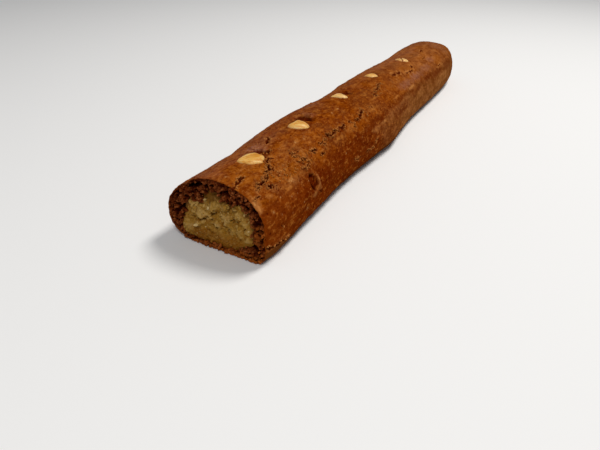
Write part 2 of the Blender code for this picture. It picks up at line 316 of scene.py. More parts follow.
# ---- what marks the skin: tables in millimetres, (distance from the cut, distance down the -Y side from the ridge) ---
# cracks: points, half-width, depth, how broken up, half-width of the crumbly border
CRACKS = [
    ([(0.0, 11.2), (1.6, 10.7), (4.2, 9.9), (6.4, 9.2), (8.8, 8.5), (11.0, 8.1)], 0.70, 1.5, 0.12, 1.2),
    ([(7.4, 16.8), (11.0, 16.0), (14.5, 15.0), (17.5, 14.1), (20.2, 13.0)], 0.50, 1.1, 0.15, 1.5),
    ([(15.6, 14.7), (17.6, 14.0), (19.6, 13.3)], 0.82, 1.4, 0.0, 0.9),
    ([(21.0, 12.0), (24.0, 11.4), (25.6, 11.2), (26.6, 9.6), (27.0, 8.6)], 0.50, 1.0, 0.35, 1.6),
    ([(24.4, 11.4), (26.0, 10.9), (26.9, 9.5)], 1.30, 1.8, 0.0, 0.8),
    ([(27.0, 8.2), (29.2, 7.0), (31.2, 6.5), (33.2, 7.4)], 0.66, 0.9, 0.10, 0.8),
    ([(13.0, 18.8), (15.0, 18.4), (16.4, 18.1), (17.0, 19.3)], 0.68, 1.2, 0.1, 1.6),
    ([(2.0, 19.8), (4.4, 20.1), (6.6, 19.6)], 0.38, 0.6, 0.35, 1.2),
    ([(43.2, -2.1), (45.4, -3.0), (48.0, -4.2), (49.6, -6.0)], 0.78, 1.1, 0.0, 0.6),
    ([(36.9, 3.3), (37.7, 3.0), (38.3, 2.8)], 1.0, 1.1, 0.0, 0.7),
    ([(43.6, 16.2), (45.6, 16.9), (48.2, 18.2)], 0.48, 0.7, 0.15, 2.0),
    ([(41.6, 20.3), (43.6, 21.1), (46.0, 20.2), (48.4, 20.4)], 0.42, 0.6, 0.35, 1.8),
    ([(42.6, 10.6), (43.6, 13.0), (44.4, 15.2)], 0.45, 0.4, 0.45, 2.2),
    ([(53.6, 16.9), (56.0, 17.1), (58.4, 18.2)], 0.52, 0.9, 0.2, 1.6),
    ([(59.2, 20.9), (61.8, 21.3)], 0.55, 0.8, 0.0, 1.0),
    ([(63.4, 16.8), (66.4, 17.2), (70.0, 16.2)], 0.42, 0.6, 0.55, 1.8),
    ([(65.6, 18.6), (68.6, 18.2)], 0.42, 0.6, 0.3, 1.2),
    ([(73.6, 15.0), (74.6, 16.8), (77.2, 17.3), (80.2, 16.8), (81.8, 15.7)], 0.72, 1.2, 0.1, 1.7),
    ([(82.4, 17.5), (84.0, 17.6), (86.4, 16.4), (89.2, 17.4), (93.0, 17.1)], 0.52, 1.0, 0.30, 1.8),
    ([(97.4, 16.5), (100.4, 17.2)], 0.66, 0.9, 0.1, 1.6),
    ([(99.2, 20.5), (101.4, 20.2)], 0.50, 0.8, 0.1, 1.2),
    ([(105.2, 19.2), (108.6, 18.8), (111.2, 18.4)], 0.52, 0.9, 0.3, 1.8),
    ([(110.8, 18.6), (111.8, 17.2), (113.0, 17.8), (115.2, 16.3), (118.0, 15.7), (120.4, 15.4)], 0.86, 1.2, 0.2, 1.7),
    ([(163.0, 8.4), (160.6, 8.6), (157.0, 10.0), (153.2, 10.5), (149.0, 10.9)], 0.92, 1.0, 0.4, 2.2),
    ([(146.0, 11.9), (144.2, 13.0)], 1.35, 1.2, 0.0, 1.6),
    ([(188.0, 8.0), (191.2, 8.2), (194.2, 8.3)], 1.55, 1.3, 0.0, 1.0),
    ([(196.2, 9.7), (198.8, 9.4), (202.2, 8.8)], 1.25, 1.2, 0.0, 1.2),
    ([(206.0, 13.2), (209.6, 13.6), (214.6, 13.2)], 0.80, 0.7, 0.35, 1.6),
    ([(215.4, 13.8), (218.4, 14.1)], 1.15, 0.9, 0.0, 1.2),
    ([(221.8, 11.3), (226.4, 10.0)], 1.35, 1.2, 0.0, 1.6),
    ([(269.2, 3.6), (273.8, 3.2)], 1.2, 0.9, 0.0, 1.2),
    ([(254.0, 10.6), (260.8, 9.8)], 0.6, 0.6, 0.4, 1.6),
    ([(0.2, 41.8), (1.6, 42.6), (3.2, 43.6), (6.0, 44.0), (8.4, 43.8), (10.6, 44.0), (12.6, 44.3), (15.4, 43.4), (18.0, 43.2)], 0.50, 0.9, 0.25, 0.9),
    ([(89.0, 36.6), (92.6, 37.2), (96.8, 38.2)], 0.60, 0.6, 0.3, 1.6),
    ([(103.6, 37.0), (107.6, 38.2), (113.0, 37.8)], 0.60, 0.6, 0.3, 1.6),
    ([(116.4, 35.2), (119.4, 35.2)], 0.60, 0.6, 0.1, 1.4),
    ([(11.2, 35.8), (12.4, 36.6)], 0.40, 0.5, 0.0, 0.8),
    # the far side and the closed end
    ([(52.0, -24.0), (60.0, -26.5), (69.0, -25.0), (78.0, -27.5)], 0.75, 1.0, 0.5, 2.0),
    ([(104.0, -15.5), (113.0, -17.5), (121.0, -16.0)], 0.70, 0.9, 0.6, 2.0),
    ([(150.0, -27.0), (162.0, -29.0), (171.0, -27.0), (183.0, -30.0)], 0.80, 1.1, 0.45, 2.0),
    ([(207.0, -19.0), (213.0, -20.5), (222.0, -18.5)], 0.70, 0.9, 0.6, 2.0),
    ([(262.0, -14.0), (268.0, -17.5), (275.0, -17.0)], 0.70, 0.9, 0.6, 2.0),
    ([(12.0, -22.0), (19.0, -24.0), (26.0, -22.5)], 0.60, 0.8, 0.6, 1.6),
    ([(262.0, 24.0), (268.0, 22.5), (273.0, 23.5)], 0.60, 0.7, 0.7, 1.6),
]
# blisters that have burst open: (s, u, half-length along, half-length round, turn, depth)
BLISTERS = [(43.9, 28.5, 2.9, 4.4, -14.0, 2.2)]
# hollows beside the almonds: (s, u, half-size along, half-size round, turn, depth)
HOLLOWS = [
    (77.3, -0.4, 4.0, 5.6, -18.0, 2.2),
    (131.8, -1.8, 2.7, 5.4, -40.0, 1.9),
    (181.4, -2.0, 1.6, 3.4, -36.0, 0.8),
    (34.8, 0.4, 2.0, 4.4, -16.0, 1.3),
]
# broad low swellings and dips: (s, u, spread along, spread round, height)
SHOULDERS = [
    (311.0, 15.0, 9.0, 7.0, 1.7),
    (292.0, 27.0, 14.0, 6.0, 0.7),
    (39.0, -23.0, 8.0, 9.0, -0.75),
    (68.0, -22.0, 18.0, 8.0, -0.50),
    (176.0, -20.0, 12.0, 8.0, -0.55),
]
# ridges and folds of the skin: points, half-width, height
FOLDS = [
    ([(46.0, 8.6), (48.2, 12.6), (49.0, 16.4), (50.6, 20.6)], 0.9, 0.40),
    ([(41.6, 12.6), (40.4, 17.0), (39.6, 20.6)], 0.9, 0.30),
    ([(47.8, 26.0), (48.2, 30.0), (49.2, 34.0), (50.4, 36.0)], 0.8, 0.50),
    ([(40.0, 31.4), (42.4, 33.6), (45.2, 33.8)], 1.0, 0.50),
    ([(46.8, 33.4), (49.0, 35.6), (51.2, 37.8)], 0.5, -0.60),
    ([(75.0, 19.2), (79.0, 20.4), (84.0, 21.2)], 1.0, 0.35),
    ([(81.6, -5.0), (83.2, -1.6), (82.6, 2.6)], 1.6, 0.60),
    ([(36.2, -9.0), (38.0, -5.6), (38.4, -2.0)], 0.8, 0.45),
    ([(41.2, -8.4), (42.6, -5.4), (42.4, -2.6)], 0.7, 0.35),
    ([(34.6, -7.6), (35.6, -4.6), (35.2, -2.4)], 0.5, -0.45),
    ([(135.0, -8.0), (136.6, -4.4), (134.2, 0.6)], 1.4, 0.45),
    ([(145.0, 13.8), (152.0, 12.8), (158.0, 12.4)], 0.9, 0.30),
    ([(158.6, 22.6), (163.0, 22.2), (167.6, 22.6)], 0.9, 0.40),
    ([(187.6, 22.4), (195.0, 22.0), (203.4, 22.6)], 1.3, 0.40),
    ([(7.0, 13.2), (13.0, 12.8), (19.0, 10.4)], 1.6, 0.30),
    ([(60.4, 6.0), (66.0, 8.6), (72.0, 7.6)], 1.6, 0.30),
]
# patches by colour: (s, u, half-size along, half-size round, strength)
# sheens: painted sheen, a greyer reflection colour, which also raises the glaze
SHEENS = [
    (37.0, -4.5, 5.5, 5.5, 1.0),
    (83.0, -1.6, 3.0, 4.6, 0.9),
    (102.0, -9.0, 10.0, 5.0, 0.6),
    (150.0, -9.0, 8.0, 4.0, 0.4),
    (201.0, -8.5, 11.0, 4.0, 0.5),
    (214.0, 19.0, 12.0, 3.6, 0.8),
    (190.0, 19.0, 15.0, 3.4, 0.6),
    (240.0, 17.5, 12.0, 3.4, 0.5),
    (262.0, 14.0, 8.0, 4.0, 0.5),
    (13.0, -9.0, 9.0, 5.0, 0.25),
    (298.0, 8.0, 9.0, 12.0, 0.45),
]
PALES = [
    (1.4, 22.4, 3.4, 4.0, 1.0),
    (30.0, 20.8, 4.2, 1.6, 0.75),
    (8.0, 28.8, 1.2, 0.7, 0.35),
    (49.4, 14.6, 1.1, 5.0, 0.5),
    (40.6, 16.6, 1.0, 3.6, 0.4),
    (48.2, 30.2, 1.1, 5.0, 0.65),
    (42.8, 34.0, 3.2, 1.6, 0.60),
    (34.0, 37.5, 2.2, 0.6, 0.40),
    (20.6, 33.4, 1.0, 0.5, 0.25),
    (53.0, 8.0, 2.6, 1.6, 0.5),
    (56.8, 15.8, 1.2, 0.8, 0.6),
    (58.4, 9.8, 1.4, 0.8, 0.4),
    (80.6, 20.8, 6.0, 1.2, 0.75),
    (96.0, 20.4, 7.0, 2.2, 0.4),
    (102.0, 6.6, 3.0, 1.0, 0.5),
    (120.0, 29.6, 6.0, 2.2, 0.45),
    (139.0, 8.0, 3.2, 1.8, 0.5),
    (142.0, 14.2, 9.0, 1.1, 0.5),
    (129.0, 19.0, 7.0, 2.4, 0.5),
    (130.0, 28.8, 6.0, 0.9, 0.6),
    (162.8, 22.5, 5.5, 0.9, 0.75),
    (195.4, 22.9, 8.5, 1.5, 0.9),
    (208.0, 12.4, 7.0, 1.6, 0.55),
    (238.0, 12.6, 5.0, 1.2, 0.4),
    (269.0, 14.8, 3.0, 1.4, 0.5),
    (287.0, 2.0, 9.0, 2.0, 0.3),
]
# painted glints: (s, u, radius) of small bright highlight specks
GLINTS = [
    (5.4, 3.4, 0.45),
    (6.0, 3.9, 0.30),
    (8.0, 28.6, 0.40),
    (29.0, 21.0, 0.45),
    (30.6, 20.4, 0.40),
    (30.2, 21.8, 0.35),
    (27.6, 20.6, 0.35),
    (56.6, 16.0, 0.45),
    (23.4, 26.8, 0.35),
    (28.4, 27.2, 0.28),
    (12.6, 31.4, 0.35),
    (31.6, 32.8, 0.35),
    (20.4, 33.4, 0.28),
    (34.2, 37.2, 0.35),
    (1.0, 21.6, 0.45),
    (16.2, 24.6, 0.35),
    (52.6, 8.0, 0.45),
    (58.4, 9.6, 0.45),
    (63.0, 31.0, 0.35),
    (80.4, 29.4, 0.45),
    (95.8, 25.8, 0.36),
    (101.6, 28.0, 0.45),
    (103.0, 6.8, 0.60),
    (94.6, 7.2, 0.50),
    (40.4, 26.0, 0.30),
]
# belts where the skin has dried to crumbs as it spread
ROUGHS = [
    (30.0, 17.0, 34.0, 6.5, 1.0),
    (45.0, 14.0, 5.0, 9.5, 1.0),
    (34.0, 9.0, 5.0, 4.5, 0.8),
    (40.0, -3.5, 8.0, 6.5, 1.0),
    (62.0, 6.0, 9.0, 6.0, 0.55),
    (80.0, 18.0, 26.0, 4.5, 0.9),
    (80.0, -1.0, 4.5, 6.0, 0.6),
    (118.0, 17.5, 16.0, 4.5, 0.95),
    (134.0, 0.0, 5.0, 6.0, 0.6),
    (152.0, 12.0, 16.0, 4.5, 0.85),
    (200.0, 11.0, 20.0, 5.0, 0.7),
    (236.0, 10.0, 18.0, 5.0, 0.6),
    (100.0, 37.5, 16.0, 2.4, 0.6),
    (9.0, 43.0, 10.0, 1.6, 0.7),
]
REDS = [
    (34.6, 1.0, 2.6, 4.6, 0.9),
    (44.4, 12.4, 2.6, 3.6, 0.55),
    (55.0, 31.0, 10.0, 6.0, 0.55),
    (10.0, 26.0, 8.0, 1.6, 0.5),
    (78.0, 0.4, 3.4, 4.6, 1.0),
    (132.6, -1.6, 3.2, 4.6, 0.9),
    (182.0, -2.0, 2.6, 3.6, 0.6),
    (100.0, 27.4, 11.0, 3.2, 0.6),
    (124.0, 25.0, 8.0, 2.6, 0.6),
    (150.0, 25.0, 9.0, 2.0, 0.5),
    (166.0, 31.2, 18.0, 3.2, 0.95),
    (176.0, 25.4, 14.0, 1.8, 0.5),
    (162.0, 2.6, 9.0, 2.4, 0.35),
    (208.0, 27.2, 5.0, 2.0, 1.0),
    (197.0, 29.0, 3.6, 1.6, 0.8),
    (232.0, 24.4, 12.0, 2.6, 0.9),
    (256.0, 25.8, 18.0, 2.8, 0.95),
    (284.0, 27.0, 16.0, 3.6, 0.9),
    (284.6, 6.8, 4.4, 2.6, 0.85),
    (268.0, -7.0, 7.0, 2.0, 0.5),
    (265.0, 2.6, 12.0, 2.4, 0.3),
    (224.0, 11.0, 3.0, 1.6, 0.8),
]


def path_distance(q, points):
    """Distance of each q to the open path through points, and the length along the path at the nearest place."""
    best = np.full(len(q), 1e9)
    where = np.zeros(len(q))
    run = 0.0
    for a, b in zip(np.array(points[:-1], float), np.array(points[1:], float)):
        d = b - a
        length = np.hypot(*d)
        t = np.clip(((q - a) @ d) / length**2, 0, 1)
        away = np.hypot(*(q - a - t[:, None] * d).T)
        near = away < best
        best = np.where(near, away, best)
        where = np.where(near, run + t * length, where)
        run += length
    return best, where


def turned(q, s, u, degrees):
    a = math.radians(degrees)
    x, y = q[:, 0] - s, q[:, 1] - u
    return x * math.cos(a) + y * math.sin(a), -x * math.sin(a) + y * math.cos(a)


def patches(q, table, ragged):
    """Strength of a table of soft-edged patches at q."""
    total = np.zeros(len(q))
    for s, u, a, b, strength in table:
        m = (np.abs(q[:, 0] - s) < 1.8 * a) & (np.abs(q[:, 1] - u) < 1.8 * b + 1)
        d = np.hypot((q[m, 0] - s) / a, (q[m, 1] - u) / b) + ragged[m]
        total[m] = np.maximum(total[m], strength * smooth(1.25, 0.35, d))
    return total


def skin_relief(p, s, u, pitch):
    """Height of the skin above the plain form in millimetres at points p (mm), and its marks; pitch is the mesh's own spacing."""
    q = np.stack([s, u], 1)
    w1, w2 = perlin(p, 2.6, 11), perlin(p, 2.6, 12)
    warp = np.stack([w1, w2], 1) * 0.60 + np.stack([perlin(p, 1.1, 13), perlin(p, 1.1, 14)], 1) * 0.40
    qw = q + warp
    base = smooth(44.0, 49.0, np.abs(u))  # 1 on the underside
    fine_ok = smooth(0.95, 0.55, pitch)
    mid_ok = smooth(1.9, 1.1, pitch)
    rolled = p * [0.55, 1.0, 1.0]  # rolling draws the grain of the dough out along the bar

    h = 0.36 * fbm(rolled, 11.0, 2, 1) + 0.30 * fbm(rolled, 4.6, 2, 2) * (1 - 0.7 * base)
    h += 0.20 * fbm(rolled, 2.0, 2, 3) * mid_ok * (1 - 0.5 * base)
    warp += 0.30 * np.stack([perlin(p, 0.6, 15), perlin(p, 0.6, 16)], 1)
    qw = q + warp
    g1, g2, gwho = cells(rolled + 0.25 * np.stack([w1, w2, w1], 1), 1.25, 50)
    h += (0.17 * smooth(0.75, 0.1, g1) - 0.06) * (0.3 + gwho) * fine_ok
    h += 0.08 * perlin(rolled, 0.8, 4) * fine_ok

    ragged = 0.45 * fbm(p, 4.0, 2, 80) + 0.25 * perlin(p, 1.6, 81)
    crack_and_shade = np.zeros(len(p))
    lip = np.zeros(len(p))
    grain = perlin(p, 1.9, 21) + 0.6 * perlin(p, 0.9, 22)
    bits = 0.8 * perlin(p, 1.6, 23) + 0.6 * perlin(p, 0.85, 24)
    bent = p + 0.3 * np.stack([w2, w1, w2], 1)
    k1, _, kwho = cells(bent, 1.10, 55)
    l1, _, lwho = cells(bent, 1.90, 56)
    coarse = pitch > 0.6
    k1, kwho = np.where(coarse, l1, k1), np.where(coarse, lwho, kwho)
    for n, (points, half, depth, broken, border) in enumerate(CRACKS):
        s0, s1 = min(a for a, _ in points) - 5, max(a for a, _ in points) + 5
        u0, u1 = min(b for _, b in points) - 5, max(b for _, b in points) + 5
        m = (s > s0) & (s < s1) & (u > u0) & (u < u1)
        if not m.any():
            continue
        d, along = path_distance(qw[m], points)
        total = sum(math.dist(a, b) for a, b in zip(points[:-1], points[1:]))
        ends = smooth(0.0, 0.9, along) * smooth(0.0, 0.9, total - along) * 0.55 + 0.45
        if points[0][0] <= 0.2:
            ends = np.maximum(ends, smooth(1.5, 0.5, along))
        gaps = broken * (0.75 + 1.2 * perlin(p[m], 2.4, 40 + n))
        w = np.maximum((1.20 - 0.12 * smooth(55.0, 85.0, s[m])) * half, 0.60 * pitch[m]) * ends
        field = 1.0 - d / w + 0.62 * bits[m] - 0.9 * gaps
        inside = smooth(0.0, 0.42, field) * smooth(2.5, 2.2, d / w)
        edge = smooth(-1.0, -0.2, field) * smooth(0.30, -0.05, field) * smooth(3.2, 2.2, d / w) * (0.45 + 0.55 * smooth(-0.3, 0.5, grain[m]))
        # the border breaks into crumbs and little pits; the inside and the pits get painted shade on top of the crumb's
        # dark colour, and the raised edges and crumbs a partly painted highlight
        close = smooth(border + 0.6, 0.35 * border, d) * smooth(-0.2, 0.6, ends)
        pit = smooth(0.50, 0.24, k1[m]) * (kwho[m] < 0.27) * close
        crumbs = smooth(0.60, 0.20, k1[m]) * (kwho[m] > 0.45) * close
        h[m] -= 0.85 * depth * inside * (0.85 + 0.3 * grain[m]) + 0.45 * pit
        h[m] += (0.18 * edge + 0.30 * crumbs) * (1 - inside)
        crack_and_shade[m] = np.maximum(crack_and_shade[m], np.maximum(inside, 0.66 * pit) * (1 - 0.12 * smooth(50.0, 80.0, s[m]) - 0.16 * smooth(120.0, 200.0, s[m])))
        lip[m] = np.maximum(lip[m], np.maximum(0.8 * edge, crumbs) * (1 - inside) * (1 - pit))

    # dry crumbs and little pits over the rough belts, and a few everywhere on the crown; the pits get painted shade and
    # the raised crumbs are painted lighter, partly as highlight
    belt = np.maximum(patches(q, ROUGHS, 1.3 * ragged), 0.22 * smooth(26.0, 20.0, np.abs(u)))
    belt *= smooth(1.6, 0.9, pitch)
    raised = smooth(0.62, 0.15, k1) * (kwho > 0.34)
    sunk = smooth(0.50, 0.20, k1) * (kwho < 0.15)
    h += belt * (0.24 * raised - 0.32 * sunk)
    lip = np.maximum(lip, belt * 0.80 * raised * kwho)
    crack_and_shade = np.maximum(crack_and_shade, belt * 0.58 * sunk)

    for points, half, height in FOLDS:
        s0, s1 = min(a for a, _ in points) - 6, max(a for a, _ in points) + 6
        u0, u1 = min(b for _, b in points) - 6, max(b for _, b in points) + 6
        m = (s > s0) & (s < s1) & (u > u0) & (u < u1)
        if not m.any():
            continue
        d, along = path_distance(q[m] + 0.6 * warp[m], points)
        total = sum(math.dist(a, b) for a, b in zip(points[:-1], points[1:]))
        ends = smooth(0.0, 2.0, along) * smooth(0.0, 2.0, total - along)
        h[m] += height * np.exp(-((d / half) ** 2)) * ends * (1 + 0.3 * grain[m])
        # a sunken fold gets painted shade
        if height < 0:
            crack_and_shade[m] = np.maximum(crack_and_shade[m], 0.7 * np.exp(-((d / (0.7 * half)) ** 2)) * ends)

    # burst blister: a sharp-edged hole, deepest under its left and upper edges, with a thin raised lip on its other
    # sides; painted shade darkens the hole most under its left and upper edges, and a painted highlight lightens the
    # lip
    for bs, bu, a, b, turn, depth in BLISTERS:
        x, y = turned(q + 0.42 * warp, bs, bu, turn)
        d = np.hypot(x / a, y / b)
        inside = smooth(1.03, 0.93, d)
        strands = perlin(np.stack([0.85 * x + 0.5 * y, 0.35 * (y - x), 0 * x], 1), 0.95, 92)
        beneath = smooth(0.45, 0.92, d) * np.maximum(smooth(0.20, -0.35, x / a), smooth(-0.35, -0.75, y / b))
        shade = np.clip(beneath + 0.75 * smooth(0.0, 0.35, strands), 0, 1)
        h -= inside * (0.7 + 0.75 * depth * beneath + 0.55 * smooth(-0.1, 0.4, strands))
        crack_and_shade = np.maximum(crack_and_shade, inside * (0.22 + 0.78 * shade))
        lip = lip * (1 - inside)
        side = smooth(-0.35, 0.55, x / a) * smooth(-1.25, -0.5, y / b)
        under = smooth(0.35, 0.95, y / b) * smooth(1.4, 0.3, x / a)
        rim = np.exp(-(((d - 1.15) / 0.11) ** 2)) * (1 - inside)
        h += 0.45 * rim * np.maximum(side, under)
        lip = np.maximum(lip, rim * np.maximum(0.36 * side, 0.20 * under) * (0.40 + 0.8 * smooth(-0.3, 0.4, grain)))
        h -= 0.4 * np.exp(-((np.hypot((x + 3.6) / 3.0, y / 6.0)) ** 2))

    # hollows where the dough has drawn back from an almond, darkened with painted shade
    for hs, hu, a, b, turn, depth in HOLLOWS:
        x, y = turned(q + 0.55 * warp, hs, hu, turn)
        d = np.hypot(x / a, y / b)
        inside = smooth(1.10, 0.55, d)
        torn = smooth(-0.35, 0.45, grain + 0.5 * (0.6 - d))
        h -= depth * inside * (0.75 + 0.45 * torn)
        crack_and_shade = np.maximum(crack_and_shade, smooth(0.4, 1.6, depth) * inside * (0.55 + 0.45 * torn))
        lip = np.maximum(lip, 0.5 * smooth(0.35, 0.8, -grain) * inside)
        h += 0.30 * np.exp(-(((d - 1.35) / 0.35) ** 2))

    # broad swellings and dips of the roll
    for ls, lu, a, b, height in SHOULDERS:
        h += height * np.exp(-(((s - ls) / a) ** 2) - (((u - lu) / b) ** 2))

    # pin-holes, some of them in loose groups, darkened with painted shade
    f1, _, who = cells(p, 2.1, 70)
    group = 0.90 - 0.22 * smooth(0.0, 0.5, fbm(p, 14.0, 2, 71))
    hole = smooth(0.30, 0.10, f1) * (who > group) * (1 - base) * smooth(1.3, 0.8, pitch)
    h -= 0.35 * hole
    crack_and_shade = np.maximum(crack_and_shade, 0.80 * hole)

    # painted sheen: a greyer reflection colour, broadest along the crown's far edge
    sheen = patches(q, SHEENS, ragged)
    sheen = np.maximum(sheen, 0.27 * smooth(2.0, -8.0, u + 9.0 * fbm(p, 9.0, 2, 86)))
    sheen *= 1 - smooth(0.1, 0.6, crack_and_shade)
    pale = patches(q, PALES, ragged) * (1 - smooth(0.2, 0.7, crack_and_shade))
    red = patches(q, REDS, ragged)
    red = np.maximum(red, 0.36 * smooth(0.12, 0.45, fbm(rolled, 7.0, 3, 82)))
    pale = np.maximum(pale, 0.42 * smooth(0.15, 0.50, fbm(rolled, 3.2, 3, 83)) * (1 - red) * smooth(30.0, 22.0, np.abs(u)))
    # painted glints, with a few random ones over the near crown
    glint = np.zeros(len(p))
    for gs, gu, gr in GLINTS:
        glint = np.maximum(glint, smooth(1.2, 0.3, np.hypot(s - gs, u - gu) / gr))
    e1, _, ewho = cells(p, 1.5, 95)
    near_top = smooth(34.0, 26.0, np.abs(u)) * smooth(170.0, 60.0, s)
    glint = np.maximum(glint, 0.30 * smooth(0.34, 0.14, e1) * (ewho > 0.965) * near_top * fine_ok)
    glint *= 1 - smooth(0.1, 0.5, crack_and_shade)
    # the top stays golden; past the shoulder the colour deepens
    wander = 2.6 * fbm(p, 9.0, 2, 84) + 0.9 * perlin(p, 2.2, 85)
    tone = smooth(26.5, 21.0, np.abs(u) + wander)
    strip = smooth(43.6, 45.6, np.abs(u) + 0.6 * perlin(p, 4.0, 90))
    tan = smooth(24.0, 31.0, np.abs(u) + 0.8 * wander + 5.0 * fbm(rolled, 6.5, 3, 88)) * smooth(95.0, 170.0, s + 34.0 * fbm(p, 16.0, 2, 87))
    marks = dict(tan=tan, crack_and_shade=crack_and_shade, lip=lip, sheen=sheen, pale=pale, red=red, tone=tone, strip=strip, glint=glint)
    return h, marks


def almond_radius(n, angle):
    """Half-breadth of an almond in metres towards each angle from +X."""
    table = np.array(ALMONDS[n][4]) / 1000
    k = angle / (2 * np.pi) * len(table)
    i = np.floor(k).astype(int)
    t = k - i
    a, b, c, d = (table[(i + o) % len(table)] for o in (-1, 0, 1, 2))
    return b + 0.5 * t * (c - a + t * (2 * a - 5 * b + 4 * c - d + t * (3 * (b - c) + d - a)))


def seat_almonds(points, marks):
    """Lets the skin down under each almond, raises a lip on its near side, and paints shade under the almond and round
    its side away from the cut.
    """
    moved = points.copy()
    for n, (cs, cy, height, turn, table) in enumerate(ALMONDS):
        m = (np.abs(points[:, 0] - cs + LENGTH / 2) < 0.014) & (points[:, 2] > 0.020)
        p = points[m]
        d = p[:, :2] - np.array([cs - LENGTH / 2, cy + CENTRE_Y])
        away = (d[:, 0] * 0.887 + d[:, 1] * 0.461) / 0.005  # 1 on the side away from the cut
        wobble = 0.035 * perlin(p * 1000, 2.4, 300 + n) + 0.025 * perlin(p * 1000, 1.1, 310 + n)
        r = np.hypot(d[:, 0], d[:, 1]) / almond_radius(n, np.arctan2(d[:, 1], d[:, 0])) + wobble
        opened = 0.95 + 0.06 * smooth(0.0, 0.9, away)
        under = smooth(opened + 0.05, opened - 0.10, r)
        rim = np.exp(-(((r - opened - 0.16) / 0.12) ** 2))
        moved[m, 2] += -0.0026 * under + 0.00035 * rim * (0.2 + 0.9 * smooth(0.2, -0.8, away))
        # painted shade under the almond
        marks["crack_and_shade"][m] = np.maximum(marks["crack_and_shade"][m], 0.75 * smooth(0.10, 0.6, under))
        # painted shade: a darker red-brown band round the socket on the side away from the cut
        close = smooth(0.62, 0.12, np.abs(r - opened - 0.12)) * smooth(-0.3, 0.5, away)
        marks["red"][m] = np.maximum(marks["red"][m], 0.9 * close)
        # a narrow gap on the side away from the cut, with painted shade in it
        gap = np.exp(-(((r - opened - 0.07) / 0.06) ** 2)) * smooth(-0.2, 0.5, away)
        moved[m, 2] -= 0.0004 * gap
        marks["crack_and_shade"][m] = np.maximum(marks["crack_and_shade"][m], 0.7 * gap)
    return moved


# ---- small loose-edged lumps ----------------------------------------------------------------------------------------
def unit_ball():
    bm = bmesh.new()
    bmesh.ops.create_icosphere(bm, subdivisions=2, radius=1.0)
    v = np.array([x.co[:] for x in bm.verts])
    f = np.array([[x.index for x in face.verts] for face in bm.faces])
    bm.free()
    return v, f


def lumps(centres, radii, rng, squash=(1.0, 1.0, 1.0), rough=0.30):
    """Uneven little lumps in metres: all their points, all their triangles, and the lump each point is of."""
    ball, faces = unit_ball()
    points, triangles, owner = [], [], []
    for n, (c, r) in enumerate(zip(centres, radii)):
        shift = rng.uniform(-50, 50, 3)
        bumpy = 1 + rough * perlin(ball * 1.1 + shift, 0.9, 900) + 0.5 * rough * perlin(ball * 2.4 + shift, 0.9, 901)
        scale = rng.uniform(0.75, 1.25, 3) * np.array(squash)
        spin = np.array(Matrix.Rotation(rng.uniform(0, 6.28), 3, Vector(rng.normal(size=3)).normalized()))
        points.append(c + (ball * bumpy[:, None] * scale * r) @ spin.T)
        triangles.append(faces + n * len(ball))
        owner.append(np.full(len(ball), n))
    return np.concatenate(points), np.concatenate(triangles), np.concatenate(owner)


# ---- crust skin -----------------------------------------------------------------------------------------------------
COLUMNS = 190


def steps(a, b, step):
    return np.linspace(a, b, max(2, int(round((b - a) / step))) + 1)


def skin_stations():
    bent = LENGTH - END_ROUND
    parts = [
        steps(0.0, 0.085, 0.00043)[:-1],
        steps(0.085, 0.235, 0.00074)[:-1],
        steps(0.235, bent, 0.00096)[:-1],
        bent + END_ROUND * np.sin(np.linspace(0, np.pi / 2, 37))[:-1],
    ]
    return np.concatenate(parts)


def resampled(s, columns):
    """Points round each section at s as (y, z, arc from the ridge), closest together where the arc is over the top and the -Y side."""
    dense = np.linspace(-np.pi / 2, 3 * np.pi / 2, 1801)
    y, z = outline(s[:, None], dense[None, :])
    step = np.hypot(np.diff(y, axis=1), np.diff(z, axis=1))
    arc = np.concatenate([np.zeros((len(s), 1)), np.cumsum(step, axis=1)], axis=1)
    arc -= arc[:, [900]]
    mid = (arc[:, 1:] + arc[:, :-1]) * 500
    weight = 0.62 + 0.52 * smooth(-46, -38, mid) + 0.90 * smooth(-19, -13, mid) - 1.52 * smooth(46, 52, mid)
    weighted = np.concatenate([np.zeros((len(s), 1)), np.cumsum(step * weight, axis=1)], axis=1)
    out = np.zeros((len(s), columns, 3))
    k = np.arange(columns) / columns
    for i in range(len(s)):
        at = k * weighted[i, -1]
        out[i, :, 0] = np.interp(at, weighted[i], y[i])
        out[i, :, 1] = np.interp(at, weighted[i], z[i])
        out[i, :, 2] = np.interp(at, weighted[i], arc[i])
    return out


